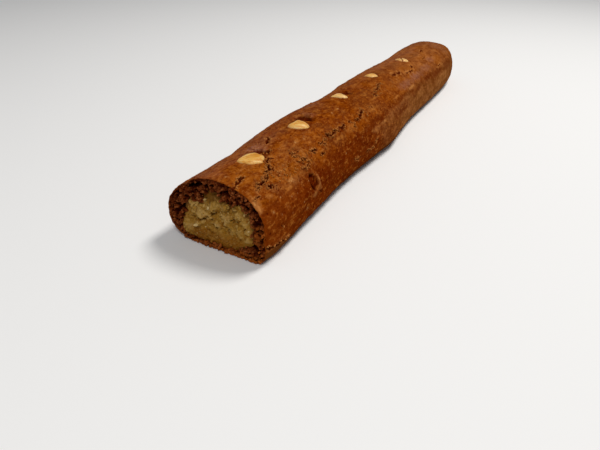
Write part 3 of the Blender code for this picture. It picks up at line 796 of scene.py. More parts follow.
def build_skin(material):
    s = skin_stations()
    ring = resampled(s, COLUMNS)
    p = np.zeros((len(s), COLUMNS, 3))
    p[..., 0] = (s - LENGTH / 2)[:, None]
    p[..., 1:] = ring[..., :2]
    n = grid_normals(p)
    if n[10, 100] @ (p[10, 100] - p[10].mean(0)) < 0:
        n = -n
    along = np.gradient(s)[:, None] * np.ones(COLUMNS)
    across = np.hypot(*(np.roll(ring[..., :2], -1, 1) - ring[..., :2]).transpose(2, 0, 1))
    pitch = np.maximum(along, across).reshape(-1) * 1000
    flat = p.reshape(-1, 3)
    sf = np.repeat(s * 1000, COLUMNS)
    uf = ring[..., 2].reshape(-1) * 1000
    h, marks = skin_relief(flat * 1000, sf, uf, pitch)
    moved = flat + n.reshape(-1, 3) * (h / 1000)[:, None]
    moved = seat_almonds(moved, marks)
    under = flat[:, 2] < 0.0004
    moved[under, 2] = np.clip(moved[under, 2], 0.0, 0.0004)
    moved[:, 2] = np.maximum(moved[:, 2], 0.0)
    # the front edge is ragged, most of all along the foot
    low = smooth(8.0, 1.0, flat[:, 2] * 1000)
    front = smooth(2.4, 0.0, sf)
    ragged = 0.34 * perlin(flat * 1000, 3.2, 401) + 0.30 * perlin(flat * 1000, 1.3, 402)
    moved[:, 0] += front * np.clip(0.30 + ragged * (1 + 0.8 * low), -0.3, 1.4) / 1000
    grid = moved.reshape(len(s), COLUMNS, 3)
    # the edge turns in over the cut face, and is taken back under the crumb
    centre = np.array([0.0, CENTRE_Y, 0.42 * HEIGHT])
    first = grid[0]
    inward = centre - first
    inward[:, 0] = 0
    inward /= np.linalg.norm(inward, axis=1)[:, None]
    torn = 0.6 + 0.8 * np.abs(perlin(first * 1000, 1.0, 403))[:, None] + 0.5 * np.clip(perlin(first * 1000, 3.0, 404), 0, 1)[:, None]
    turns = []
    for away, back in ((0.08, -0.05), (0.22, -0.02), (0.38, 0.14), (0.55, 0.60), (0.75, 1.6)):
        turn = first + inward * away * torn / 1000
        turn[:, 0] += back / 1000
        turns.append(turn)
    grid = np.concatenate([np.stack(turns[::-1]), grid])
    extra = len(turns)
    rows = len(grid)
    tip = np.array([[LENGTH / 2, CENTRE_Y, END_CENTRE_Z]])
    points = np.concatenate([grid.reshape(-1, 3), tip])
    last = (rows - 1) * COLUMNS
    fans = [(last + c, last + (c + 1) % COLUMNS, rows * COLUMNS) for c in range(COLUMNS)]
    rim = np.zeros((rows, COLUMNS))
    rim[: extra + 1] = 1.0
    rim[extra + 1 : extra + 4] = np.array([0.7, 0.4, 0.15])[:, None]
    layers = [("rim", np.append(rim.reshape(-1), 0))]
    for key, values in marks.items():
        g = values.reshape(len(s), COLUMNS)
        whole = np.concatenate([np.repeat(g[:1], extra, axis=0), g]).reshape(-1)
        layers.append((key, np.append(whole, values[-COLUMNS:].mean())))
    made = mesh_object("crust_skin", points, grid_faces(rows, COLUMNS), fans, layers, flip=True, materials=[material])

    # crumbs that stand along the cracks
    rng = np.random.RandomState(31)
    chosen = np.flatnonzero((marks["lip"] > 0.45) & (sf > 1.0) & (sf < 175.0) & (uf > 1.0) & (uf < 44))
    chosen = chosen[rng.permutation(len(chosen))[:560]]
    radii = rng.uniform(0.18, 0.44, len(chosen))
    centres = moved[chosen] + n.reshape(-1, 3)[chosen] * (0.25 * radii / 1000)[:, None]
    cp, ct, owner = lumps(centres, radii / 1000, rng)
    bright = rng.uniform(0, 1, len(chosen))[owner]
    none = np.zeros(len(cp))
    crumb_layers = [("lip", 0.35 + 0.65 * bright), ("tone", none + 1), ("rim", none), ("crack_and_shade", none + 0.1 * (bright < 0.2)), ("sheen", none), ("pale", 0.3 * bright), ("tan", none), ("red", none), ("strip", none), ("glint", none)]
    crumbs = mesh_object("crust_crumbs", cp, np.zeros((0, 4), int), ct.tolist(), crumb_layers, materials=[material])
    return made, crumbs, first


# ---- cut face of the dough ------------------------------------------------------------------------------------------
FACE_CENTRE = (CENTRE_Y + 0.0002, 0.42 * HEIGHT)
FACE_COLUMNS = 680
# edge of the paste as it shows at the cut: (y, z) in millimetres
PASTE_EDGE = [
    (17.0, 17.6), (17.6, 14.8), (19.6, 10.6), (20.0, 7.8), (19.0, 4.4), (14.5, 3.5), (9.9, 3.3), (4.9, 3.5),
    (-0.1, 3.5), (-4.6, 3.7), (-7.8, 4.2), (-11.0, 5.4), (-12.8, 6.8), (-14.8, 7.9), (-16.4, 9.8), (-17.0, 12.5),
    (-16.6, 14.6), (-17.0, 17.0), (-16.2, 19.8), (-14.0, 22.0), (-13.4, 23.8), (-11.5, 25.2), (-8.7, 25.2),
    (-7.2, 24.2), (-4.6, 24.7), (-2.4, 25.3), (-0.6, 26.6), (1.8, 27.3), (4.4, 27.2), (6.2, 26.4), (7.2, 24.6), (8.2, 22.0), (9.8, 20.9),
    (11.6, 20.8), (13.3, 21.8), (15.0, 21.4), (16.4, 19.6),
]
PASTE_EDGE = [(y + 0.8, z - 0.85) for y, z in PASTE_EDGE]
# the big pores of the cut: (y, z, half-length, half-breadth, turn, depth) in millimetres
PORES = [
    (11.6, 28.5, 4.4, 1.05, -26, 3.6),
    (14.6, 27.4, 1.3, 0.9, 0, 2.6),
    (20.2, 16.2, 2.8, 1.5, -10, 3.6),
    (17.6, 22.2, 1.6, 1.0, 20, 2.2),
    (20.0, 9.3, 1.6, 0.55, -10, 2.2),
    (-20.6, 22.2, 2.1, 2.5, 10, 3.6),
    (-18.6, 19.0, 1.2, 1.5, 0, 2.0),
    (-8.0, 3.0, 1.8, 0.75, -8, 2.6),
    (-16.7, 7.7, 1.9, 1.3, 30, 2.6),
    (-14.0, 25.0, 1.1, 1.3, 0, 2.4),
    (5.4, 30.0, 1.2, 0.7, -20, 1.8),
    (2.0, 30.8, 1.4, 0.55, -15, 1.8),
    (8.8, 24.2, 1.2, 1.1, 0, 2.0),
    (-3.4, 29.4, 1.1, 0.6, 0, 1.8),
    (-5.4, 28.2, 0.9, 0.7, 0, 1.6),
    (-1.2, 28.4, 0.9, 0.6, 0, 1.4),
    (3.2, 26.2, 2.4, 1.7, 0, 1.6),
    (13.2, 24.6, 1.2, 0.8, 30, 1.6),
    (21.8, 19.8, 0.9, 1.3, 0, 1.6),
    (22.8, 12.8, 0.8, 1.2, 0, 1.6),
    (23.0, 8.4, 1.2, 0.6, 0, 1.4),
    (-19.6, 14.2, 0.9, 0.8, 0, 1.6),
    (-20.6, 10.8, 0.7, 0.9, 0, 1.4),
    (-19.4, 4.6, 1.4, 0.8, 0, 1.6),
    (4.6, 1.9, 2.0, 0.55, 0, 1.2),
    (10.8, 1.9, 1.4, 0.5, 0, 1.2),
    (16.0, 2.2, 1.2, 0.5, 0, 1.2),
    (-1.6, 2.2, 1.2, 0.5, 0, 1.2),
    (-10.8, 29.0, 1.0, 0.8, 0, 1.2),
    (-16.6, 26.4, 1.2, 0.7, 40, 1.8),
]


def ring_radius(points, angles):
    """Distance of a closed ring of (y, z) points from the middle of the face at each angle, in the points' own unit."""
    ring = np.array(points, float)
    a = np.linspace(0, 1, 8, endpoint=False)
    y = (ring[:, None, 0] * (1 - a) + np.roll(ring, -1, 0)[:, None, 0] * a).reshape(-1)
    z = (ring[:, None, 1] * (1 - a) + np.roll(ring, -1, 0)[:, None, 1] * a).reshape(-1)
    return radius_about((FACE_CENTRE[0] * 1000, FACE_CENTRE[1] * 1000), y, z, angles)


def crumb_relief(p, outside, inside):
    """Depth of the torn crumb behind the cut plane, how dark it lies and how far it is a lump's light tip, at points p;
    outside is the distance in from the skin, and inside, the distance out from the paste, is not used. All in
    millimetres.
    """
    bent = p + 0.42 * np.stack([perlin(p, 1.7, 490), perlin(p, 1.7, 491), perlin(p, 1.7, 492)], 1)
    f1, f2, who = cells(bent, 1.70, 500)
    g1, g2, gwho = cells(bent, 0.88, 520)
    # next to the skin the dough is denser and its cut smoother
    dense = smooth(2.2, 0.5, outside + 0.9 * perlin(p, 2.5, 505)) * smooth(16.0, 26.0, p[:, 2]) * smooth(16.0, 8.0, np.abs(p[:, 1]))
    open_ = 1 - 0.75 * dense
    lump = np.sqrt(np.clip(1 - (f1 / 0.85) ** 2, 0, 1))
    small = np.sqrt(np.clip(1 - (g1 / 0.9) ** 2, 0, 1))
    depth = 1.65 - (1.25 * lump * (0.30 + who) + 0.50 * small * (0.3 + gwho)) * open_ - 0.95 * dense
    depth += 0.45 * fbm(p, 4.0, 3, 540)
    # painted shade between the lumps, the denser dough by the skin darker in its own colour; painted highlight on the
    # lumps' tips
    dark = smooth(0.50, 0.80, f1) * 0.74 * open_ + smooth(0.52, 0.84, g1) * 0.44 * open_ + 0.34 * dense
    tip = open_ * (0.85 * smooth(0.62, 0.20, g1) * smooth(0.30, 0.85, gwho) + 0.40 * smooth(0.60, 0.15, f1) * smooth(0.35, 0.9, who))
    # painted shade in the holes and pin-holes
    holes = smooth(0.74, 0.40, f1) * (who < 0.30) * open_
    depth += 1.8 * holes
    pin = smooth(0.55, 0.22, g1) * (gwho < 0.22) * open_
    depth += 0.7 * pin
    dark = np.maximum(dark, np.maximum(0.98 * holes, 0.85 * pin))
    warp = 0.34 * fbm(p, 1.7, 2, 560)
    # the big pores, painted dark as shade
    for cy, cz, a, b, turn, deep in PORES:
        x, y = turned(p[:, 1:], cy, cz, turn)
        d = np.hypot(x / a, y / b) + warp
        within = smooth(1.32, 0.80, d)
        depth += deep * within
        dark = np.maximum(dark, within)
    # the crumb sinks away under its own skin and where it meets the paste
    depth = depth * (0.25 + 0.75 * smooth(0.0, 0.9, outside))
    depth += 1.2 * smooth(0.35, 0.0, outside)
    return depth, dark, np.clip(tip * (1 - dark) ** 1.5 + 0.12, 0, 1)


def build_crumb(material, first):
    angles = np.linspace(0, 2 * np.pi, FACE_COLUMNS, endpoint=False)
    outer = radius_about(FACE_CENTRE, first[:, 1], first[:, 2], angles) * 1000 - 0.12
    inner = ring_radius(PASTE_EDGE, angles)
    fractions = np.concatenate([np.linspace(-2.2, 0.0, 9)[:-1], np.linspace(0.0, 1.0, 40)])
    radius = np.where(
        fractions[:, None] < 0, inner[None] + fractions[:, None], inner[None] + fractions[:, None] * (outer - inner)[None]
    )
    y = FACE_CENTRE[0] * 1000 + radius * np.cos(angles)[None]
    z = FACE_CENTRE[1] * 1000 + radius * np.sin(angles)[None]
    p = np.stack([np.zeros(y.shape), y, z], -1).reshape(-1, 3)
    outside = (outer[None] - radius).reshape(-1)
    inside = (radius - inner[None]).reshape(-1)
    depth, dark, tip = crumb_relief(p, outside, inside)
    # dives under the paste along a ragged line
    over = inside + 0.55 * perlin(p, 2.2, 580) + 0.35 * perlin(p, 1.0, 581)
    depth += 1.3 * smooth(1.6, 0.0, over) + 2.2 * smooth(0.2, -1.8, over)
    side = 0.26 * np.stack([np.zeros(len(p)), perlin(p, 0.9, 570), perlin(p, 0.9, 571)], 1)
    q = p + side * smooth(0.0, 0.8, outside)[:, None]
    low = smooth(3.0, 0.4, p[:, 2])
    q[:, 0] = depth - 0.35 * low * (0.5 + perlin(p, 1.6, 572))
    q[:, 2] = np.maximum(q[:, 2], 0.10)
    points = q / 1000
    points[:, 0] += CUT_X
    red = np.maximum(
        smooth(-15.5, -18.5, p[:, 1] + 0.8 * perlin(p, 3.0, 573)) * smooth(20.0, 16.5, p[:, 2]) * smooth(8.5, 11.0, p[:, 2]),
        smooth(4.2, 2.0, p[:, 2] + perlin(p, 2.6, 574)) * smooth(6.0, -8.0, p[:, 1]),
    )
    red = np.maximum(red, 0.45 * smooth(4.2, 2.0, p[:, 2]))
    dark = dark * (1 - 0.30 * red)
    red = red * (1 - 0.5 * smooth(0.3, 0.8, dark))
    count = len(points)

    # loose-edged crumbs standing on it
    rng = np.random.RandomState(17)
    n = 900
    at = rng.randint(0, FACE_COLUMNS, n)
    share = rng.uniform(0.03, 0.97, n)
    rad = inner[at] + share * (outer[at] - inner[at])
    cy = FACE_CENTRE[0] * 1000 + rad * np.cos(angles[at])
    cz = FACE_CENTRE[1] * 1000 + rad * np.sin(angles[at])
    c = np.stack([np.zeros(n), cy, cz], 1)
    cd, cdark, _ = crumb_relief(c, outer[at] - rad, rad - inner[at])
    foot = smooth(3.6, 1.0, cz)
    keep = (cdark < 0.5) & ((outer[at] - rad > 0.7) | (foot > 0.5))
    c, cd, foot = c[keep], cd[keep], foot[keep]
    radii = rng.uniform(0.16, 0.62, len(c)) * (1 + 0.30 * foot)
    c[:, 0] = cd - 0.15 * radii - 0.25 * foot
    c[:, 2] = np.maximum(c[:, 2], radii * 0.9)
    # a fringe along the foot of the slice
    m = 130
    low_edge = first[first[:, 2] < 0.009]
    low_edge = low_edge[np.argsort(low_edge[:, 1])] * 1000
    fy = rng.uniform(-21.4, 20.5, m)
    fy = fy[rng.uniform(0, 1, m) < smooth(21.0, 13.0, fy)]
    m = len(fy)
    fr = rng.uniform(0.22, 0.62, m)
    fz = np.interp(fy, low_edge[:, 1], low_edge[:, 2]) + fr * rng.uniform(0.6, 1.8, m)
    fringe = np.stack([rng.uniform(-0.25, 0.5, m), fy, fz], 1)
    c = np.concatenate([c, fringe])
    radii = np.concatenate([radii, fr])
    lp, lt, owner = lumps(c / 1000 + np.array([CUT_X, 0, 0]), radii / 1000, rng)
    lp[:, 2] = np.maximum(lp[:, 2], 0.0)
    tint = rng.uniform(0, 1, len(c))
    lump_red = np.maximum(
        smooth(-15.5, -18.5, c[:, 1]) * smooth(20.0, 16.5, c[:, 2]), smooth(4.0, 2.0, c[:, 2]) * (0.4 + 0.6 * smooth(6.0, -8.0, c[:, 1]))
    )
    # deep: painted shade of the pores and gaps, and some darker loose crumbs; bright: painted highlight on lump tips,
    # and the loose crumbs' own lightness
    marks = [
        ("deep", np.concatenate([dark, (0.25 * (tint < 0.3))[owner]])),
        ("bright", np.concatenate([tip, (0.25 + 0.75 * tint)[owner]])),
        ("foot", np.concatenate([red, lump_red[owner]])),
        ("rim", np.concatenate([smooth(1.0, 0.1, outside), np.zeros(len(lp))])),
    ]
    return mesh_object(
        "crumb_face", np.concatenate([points, lp]), grid_faces(len(fractions), FACE_COLUMNS), (lt + count)[:, ::-1].tolist(), marks, flip=True, materials=[material]
    )


# ---- almond paste ---------------------------------------------------------------------------------------------------
def disc_grid(n):
    """An n x n grid of points spread evenly over the unit disc, as (radius, angle)."""
    t = np.linspace(-1, 1, n)
    a, b = np.meshgrid(t, t, indexing="ij")
    wide = np.abs(a) > np.abs(b)
    with np.errstate(divide="ignore", invalid="ignore"):
        r = np.where(wide, a, b)
        phi = np.where(wide, np.pi / 4 * b / a, np.pi / 2 - np.pi / 4 * a / b)
    phi = np.where((a == 0) & (b == 0), 0.0, phi)
    phi = np.where(r < 0, phi + np.pi, phi)
    return np.abs(r), phi


# clefts between the lumps of paste: points (y, z), half-width, depth
CLEFTS = [
    ([(4.2, 16.2), (6.4, 14.8), (8.2, 12.6), (10.4, 11.6), (14.0, 11.8), (17.0, 10.6)], 0.42, 1.1),
    ([(-5.0, 21.8), (-3.4, 19.6), (-1.2, 18.6), (0.2, 17.2)], 0.42, 0.9),
    ([(4.6, 18.6), (3.6, 17.2), (2.2, 16.6)], 0.40, 0.8),
    ([(-10.6, 17.2), (-9.8, 16.2), (-7.6, 15.6), (-6.0, 16.4)], 0.38, 0.9),
    ([(5.6, 13.6), (4.2, 11.0), (2.6, 10.4)], 0.40, 1.0),
    ([(-1.0, 12.6), (-3.6, 11.0), (-4.0, 8.6)], 0.36, 0.7),
    ([(-5.6, 22.6), (-6.2, 19.8), (-7.0, 17.6)], 0.36, 0.7),
    ([(-12.2, 14.4), (-11.4, 11.8), (-12.4, 9.6)], 0.36, 0.7),
    ([(13.4, 18.8), (11.8, 16.8), (12.6, 14.6)], 0.34, 0.5),
    ([(8.6, 8.0), (5.4, 7.2), (2.0, 7.6)], 0.36, 0.5),
    ([(-7.4, 9.4), (-9.4, 7.6)], 0.34, 0.6),
]
# lumps that stand out: (y, z, radius along y, radius along z, height)
MOUNDS = [
    (9.6, 15.8, 4.6, 2.6, 0.8),
    (3.2, 21.0, 2.6, 1.8, 0.8),
    (-3.6, 17.0, 3.0, 2.4, 0.9),
    (1.6, 12.6, 2.2, 1.7, 0.7),
    (-9.6, 20.6, 2.6, 2.4, 0.5),
    (-11.6, 16.6, 2.2, 1.8, 0.6),
    (-10.6, 12.0, 2.6, 2.4, 0.6),
    (11.7, 9.6, 1.5, 1.1, 0.9),
    (-13.4, 9.0, 2.2, 1.4, 0.7),
    (15.8, 7.0, 2.6, 2.0, 0.5),
    (-2.0, 22.4, 2.6, 1.5, 0.5),
    (-0.6, 7.6, 3.6, 1.6, 0.3),
]


def paste_relief(p):
    """Of the crumbled paste: depth behind the cut plane in millimetres, how far each place lies in a crevice, and how far it stands out."""
    bent = p + 0.9 * np.stack([perlin(p, 2.6, 600), perlin(p, 2.6, 601), perlin(p, 2.6, 602)], 1)
    g1, g2, gwho = cells(bent, 2.3, 620)
    k1, k2, kwho = cells(p + 0.3 * perlin(p, 1.0, 603)[:, None], 0.95, 630)
    crumb = np.sqrt(np.clip(1 - (g1 / 0.9) ** 2, 0, 1))
    grain = np.sqrt(np.clip(1 - (k1 / 0.9) ** 2, 0, 1))
    q = p[:, 1:] + 0.55 * np.stack([perlin(p, 1.7, 642), perlin(p, 1.7, 643)], 1)
    broad = 0.75 * fbm(p, 5.0, 2, 640)
    for cy, cz, a, b, height in MOUNDS:
        broad += 2.0 * height * np.exp(-(((q[:, 0] - cy) / a) ** 2 + ((q[:, 1] - cz) / b) ** 2) ** 1.6)
    # painted shade in the gaps between crumbs and, below, in the clefts
    dark = 0.22 * smooth(0.12, 0.0, g2 - g1) * smooth(0.35, 0.8, gwho)
    for points, half, depth in CLEFTS:
        d, _ = path_distance(q, points)
        w = 1.7 * half * (1 + 0.9 * perlin(p, 1.5, 644))
        cut = smooth(1.4, 0.1, d / np.maximum(w, 0.05)) * smooth(-0.45, 0.05, perlin(p, 2.4, 645))
        broad -= 0.90 * depth * cut + 0.6 * depth * np.exp(-((d / 1.2) ** 2))
        dark = np.maximum(dark, 0.66 * cut)
    h = broad + 0.62 * crumb * gwho + 0.17 * grain * (0.4 + kwho) + 0.06 * perlin(p, 0.9, 641)
    h -= 0.20 * smooth(0.10, 0.0, g2 - g1) * gwho
    # a hollow under the roof of the crumb, darkened with painted shade
    cave = smooth(1.20, 0.75, np.hypot((p[:, 1] - 4.3) / 4.3, (p[:, 2] - 24.9) / 3.5) + 0.35 * perlin(p, 1.9, 664))
    h -= 0.55 * cave
    dark = np.maximum(dark, np.clip(0.90 + 0.50 * perlin(p, 1.4, 665), 0, 1) * cave)
    return 2.05 - 0.95 * smooth(10.0, 3.0, p[:, 2]) - h, np.clip(dark, 0, 1), np.clip(0.25 * gwho + 0.75 * smooth(-0.2, 1.5, broad + 0.3 * crumb * gwho), 0, 1)


def build_paste(material):
    n = 186
    r, phi = disc_grid(n)
    centre = (FACE_CENTRE[0], FACE_CENTRE[1])
    edge = ring_radius(PASTE_EDGE, phi.reshape(-1)).reshape(phi.shape)
    # the edge of the paste runs on a little under the crumb
    beyond = edge + 1.3
    out = r * beyond
    y = centre[0] * 1000 + out * np.cos(phi)
    z = centre[1] * 1000 + out * np.sin(phi)
    p = np.stack([np.zeros(y.shape), y, z], -1).reshape(-1, 3)
    depth, dark, stand = paste_relief(p)
    band = (edge - out).reshape(-1)
    roofed = smooth(12.0, 18.0, p[:, 2])
    depth = depth + (0.1 + 0.4 * roofed) * smooth(1.8, 0.0, band) + 0.6 * smooth(0.0, -1.3, band)
    side = 0.22 * np.stack([np.zeros(len(p)), perlin(p, 1.2, 650), perlin(p, 1.2, 651)], 1)
    q = p + side * smooth(-1.3, 0.0, band)[:, None]
    q[:, 0] = depth
    points = q / 1000
    points[:, 0] += CUT_X
    idx = np.arange(n * n).reshape(n, n)
    rim = np.concatenate([idx[0, :-1], idx[:-1, -1], idx[-1, :0:-1], idx[:0:-1, 0]])
    quads = grid_faces(n, n, wrap=False)
    # the rest of the rope, inside the dough
    ring = points[rim]
    angles = np.arctan2(ring[:, 2] - centre[1], ring[:, 1] - centre[0])
    dense = np.linspace(0, 2 * np.pi, 3600, endpoint=False)
    ry, rz = paste_outline(dense)
    rope = radius_about(centre, ry, rz, angles)
    body = [points]
    start, count = len(points), len(rim)
    bent = PASTE_LENGTH - 0.027
    stations = [0.010, 0.03, 0.07, 0.11, 0.15, 0.19, 0.23, bent]
    stations += [bent + 0.027 * math.sin(math.pi / 2 * k / 4) for k in range(1, 5)]
    faces = []
    before = rim
    for k, s in enumerate(stations):
        f = max(0.0, (s - bent) / 0.027)
        scale = 0.97 * (1 - min(f, 0.999) ** 2.2) ** (1 / 2.2)
        loop = np.stack([np.full(count, CUT_X + s), centre[0] + rope * scale * np.cos(angles), centre[1] + rope * scale * np.sin(angles)], 1)
        body.append(loop)
        after = start + k * count + np.arange(count)
        nxt = np.roll(np.arange(count), -1)
        faces.append(np.stack([before, before[nxt], after[nxt], after], 1))
        before = after
    quads = np.concatenate([quads, *faces])

    # grains of chopped almond standing in it
    rng = np.random.RandomState(23)
    m = 170
    ga = rng.uniform(0, 2 * np.pi, m)
    gr = np.sqrt(rng.uniform(0, 1, m)) * (ring_radius(PASTE_EDGE, ga) - 0.3)
    c = np.stack([np.zeros(m), centre[0] * 1000 + gr * np.cos(ga), centre[1] * 1000 + gr * np.sin(ga)], 1)
    cd, cdark, _ = paste_relief(c)
    keep = cdark < 0.35
    c, cd = c[keep], cd[keep]
    radii = rng.uniform(0.30, 0.80, len(c)) * rng.uniform(0.6, 1.0, len(c))
    c[:, 0] = cd + 0.35 * radii
    # soft crumbs of the paste itself, most of them in its upper half
    m = 230
    ga = rng.uniform(0, 2 * np.pi, m)
    gr = np.sqrt(rng.uniform(0, 1, m)) * (ring_radius(PASTE_EDGE, ga) - 0.7)
    soft = np.stack([np.zeros(m), centre[0] * 1000 + gr * np.cos(ga), centre[1] * 1000 + gr * np.sin(ga)], 1)
    sd, sdark, _ = paste_relief(soft)
    keep = (sdark < 0.6) & (rng.uniform(0, 1, m) < 0.25 + 0.75 * smooth(9.0, 12.5, soft[:, 2]))
    soft, sd = soft[keep], sd[keep]
    soft_radii = rng.uniform(0.45, 1.45, len(soft))
    soft[:, 0] = sd + 0.42 * soft_radii
    c = np.concatenate([c, soft])
    radii = np.concatenate([radii, soft_radii])
    crumbly = len(soft)
    # the palest pieces
    pale = np.array([[0.30, 12.1, 9.2], [0.35, 5.2, 19.6], [0.9, 7.0, 23.0], [0.6, -8.2, 22.6], [0.5, -12.8, 21.6], [0.4, 4.9, 3.0]])
    c = np.concatenate([c, pale])
    radii = np.concatenate([radii, [1.10, 0.75, 0.60, 0.65, 0.40, 0.6]])
    lp, lt, owner = lumps(c / 1000 + np.array([CUT_X, 0, 0]), radii / 1000, rng, squash=(0.7, 1.25, 0.75), rough=0.35)
    tint = rng.uniform(0, 1, len(c)) ** 7.0
    tint[-6 - crumbly : -6] = 0.0
    tint[-6:] = (1.0, 0.9, 0.7, 0.6, 0.7, 0.4)
    height = 0.30 + 0.60 * rng.uniform(0, 1, len(c))
    base_points = np.concatenate(body)
    grow = len(base_points) - start

    def tail(v, fill, lump_values):
        return np.concatenate([v, np.full(grow, fill), lump_values])

    amber = smooth(10.5, 6.0, p[:, 2] + 1.8 * perlin(p, 4.0, 660)) * smooth(18.0, 12.0, p[:, 1]) * smooth(-14.0, -9.5, p[:, 1])
    amber = np.maximum(amber, 0.55 * smooth(0.1, 0.5, fbm(p, 5.0, 2, 661)))
    for cy, cz, a, b, strength in ((-3.2, 20.8, 1.8, 1.4, 0.8), (10.6, 11.4, 5.5, 0.9, 0.8), (-12.6, 11.6, 1.6, 2.2, 0.7), (-13.8, 18.8, 1.0, 1.0, 1.0)):
        amber = np.maximum(amber, strength * np.exp(-(((p[:, 1] - cy) / a) ** 2 + ((p[:, 2] - cz) / b) ** 2)))
    lump_amber = smooth(10.5, 6.0, c[:, 2]) * smooth(17.0, 11.0, c[:, 1]) * smooth(-14.0, -9.5, c[:, 1])
    # darker towards the paste's edge, most along its top
    darker_by_edge = smooth(2.8, 0.0, band + 1.6 * perlin(p, 1.8, 662)) * smooth(13.0, 19.0, p[:, 2]) + 0.30 * smooth(0.7, -0.2, band + 0.5 * perlin(p, 1.5, 663))
    # deep: painted shade in the clefts and the hollow; lump: raised places painted lighter and low ones darker as light
    # and shade, and the loose lumps' own tone
    marks = [
        ("deep", tail(dark, 0.2, np.zeros(len(lp)))),
        ("lump", tail(stand, 0.5, height[owner])),
        ("amber", tail(amber, 0.3, (0.8 * lump_amber)[owner])),
        ("speck", tail(np.zeros(len(p)), 0.0, tint[owner])),
        ("edge", tail(np.clip(darker_by_edge, 0, 1), 0.0, np.zeros(len(lp)))),
    ]
    points = np.concatenate([base_points, lp])
    return mesh_object("paste", points, quads, (lt + len(base_points))[:, ::-1].tolist(), marks, flip=False, materials=[material])


# ---- almonds --------------------------------------------------------------------------------------------------------
def build_almond(n, material):
    """A blanched half: its outline as the skin leaves it bare, domed above, closed below; local X runs to the pointed tip."""
    cs, cy, height, turn, table = ALMONDS[n]
    turn = math.radians(turn)
    columns = 120
    t = np.linspace(0, 2 * np.pi, columns, endpoint=False)  # about Z, from the tip
    reach = almond_radius(n, t + turn)
    out = np.concatenate([np.linspace(0.03, 0.80, 24), 0.80 + 0.20 * np.sin(np.linspace(0, np.pi / 2, 15))[1:]])
    dome = height * (1 - out**2.6) ** 0.55
    sink = np.array([0.0006, 0.0013, 0.0022, 0.0032, ALMOND_THICK - height])
    tuck = np.array([1.0, 0.985, 0.93, 0.78, 0.45])
    f = np.concatenate([out, tuck])[:, None]
    drop = np.concatenate([dome, -sink])[:, None]
    x, y = f * reach * np.cos(t), f * reach * np.sin(t)
    wx, wy = x * math.cos(turn) - y * math.sin(turn), x * math.sin(turn) + y * math.cos(turn)
    level = float(roof(cs, cy))
    lie = 0.85 * (roof(cs + wx, cy + wy) - level)
    p = np.stack([x, y, lie + drop], -1)
    q = p.reshape(-1, 3) * 1000
    # veins that fan out from the tip, and the fine dents of a nut that was split
    tip = float(reach[0]) * 1000 * 1.15
    fan = np.arctan2(q[:, 1], tip - q[:, 0])
    furrow = np.sin(fan * (17 if n < 2 else 12) + 1.3 * n + 1.9 * perlin(q * [0.25, 0.9, 0.9], 2.5, 700 + n))
    furrow *= 0.55 + 0.9 * np.clip(perlin(q * [0.5, 1.0, 1.0], 2.6, 705 + n) + 0.3, 0, 1)
    upper = np.repeat((drop[:, 0] > 0) * smooth(1.0, 0.8, f[:, 0]), columns)
    lift = (0.085 * furrow + 0.15 * fbm(q, 4.0, 2, 710 + n)) * (0.2 + 0.8 * upper) + 0.04 * perlin(q, 1.2, 720 + n)
    split = np.zeros(len(q))
    across = wx.reshape(-1) * 476 - wy.reshape(-1) * 879
    if n == 4:  # broken across, with dough in the gap
        split = np.exp(-((across - 0.3 + 0.3 * perlin(q, 2.0, 730)) / 0.60) ** 2)
        lift = lift - 0.8 * split
    # a film of dough has baked over the left of some of them
    cover = COVERED[n][1] * smooth(COVERED[n][0] + 0.9, COVERED[n][0] - 1.2, across + 0.9 * perlin(q, 2.2, 740 + n))
    lift = lift - (0.5 if n == 4 else 0.15) * cover
    moved = p.reshape(-1, 3)
    moved[:, 2] += lift / 1000
    points = np.concatenate([moved, [[0, 0, moved[:columns, 2].mean()], [0, 0, moved[-columns:, 2].mean()]]])
    rows = len(f)
    top, foot = rows * columns, rows * columns + 1
    fans = [(top, c, (c + 1) % columns) for c in range(columns)]
    last = (rows - 1) * columns
    fans += [(foot, last + (c + 1) % columns, last + c) for c in range(columns)]
    quads = grid_faces(rows, columns)[:, ::-1]
    edge = np.repeat(smooth(0.72, 1.0, f[:, 0]), columns)
    # an amber flush down the middle, paler towards the rim
    middle = np.exp(-((q[:, 0] + 1.6) / 3.2) ** 2 - ((q[:, 1] - 1.2) / 1.7) ** 2) * (1.0 if n == 0 else 0.60)
    wan = np.full(len(q) + 2, (0.0, 0.15, 0.70, 0.15, 0.75)[n])
    marks = [("wan", wan), ("streak", np.append(furrow, [0, 0])), ("edge", np.append(edge, [0, 1])), ("split", np.append(split, [0, 0])), ("flush", np.append(middle, [1, 0])), ("cover", np.append(cover, [0, 1]))]
    made = mesh_object(f"almond_half_{n + 1}", points, quads, fans, marks, materials=[material])
    made.location = (cs - LENGTH / 2, cy + CENTRE_Y, level)
    made.rotation_euler = (0, 0, turn)
    return made


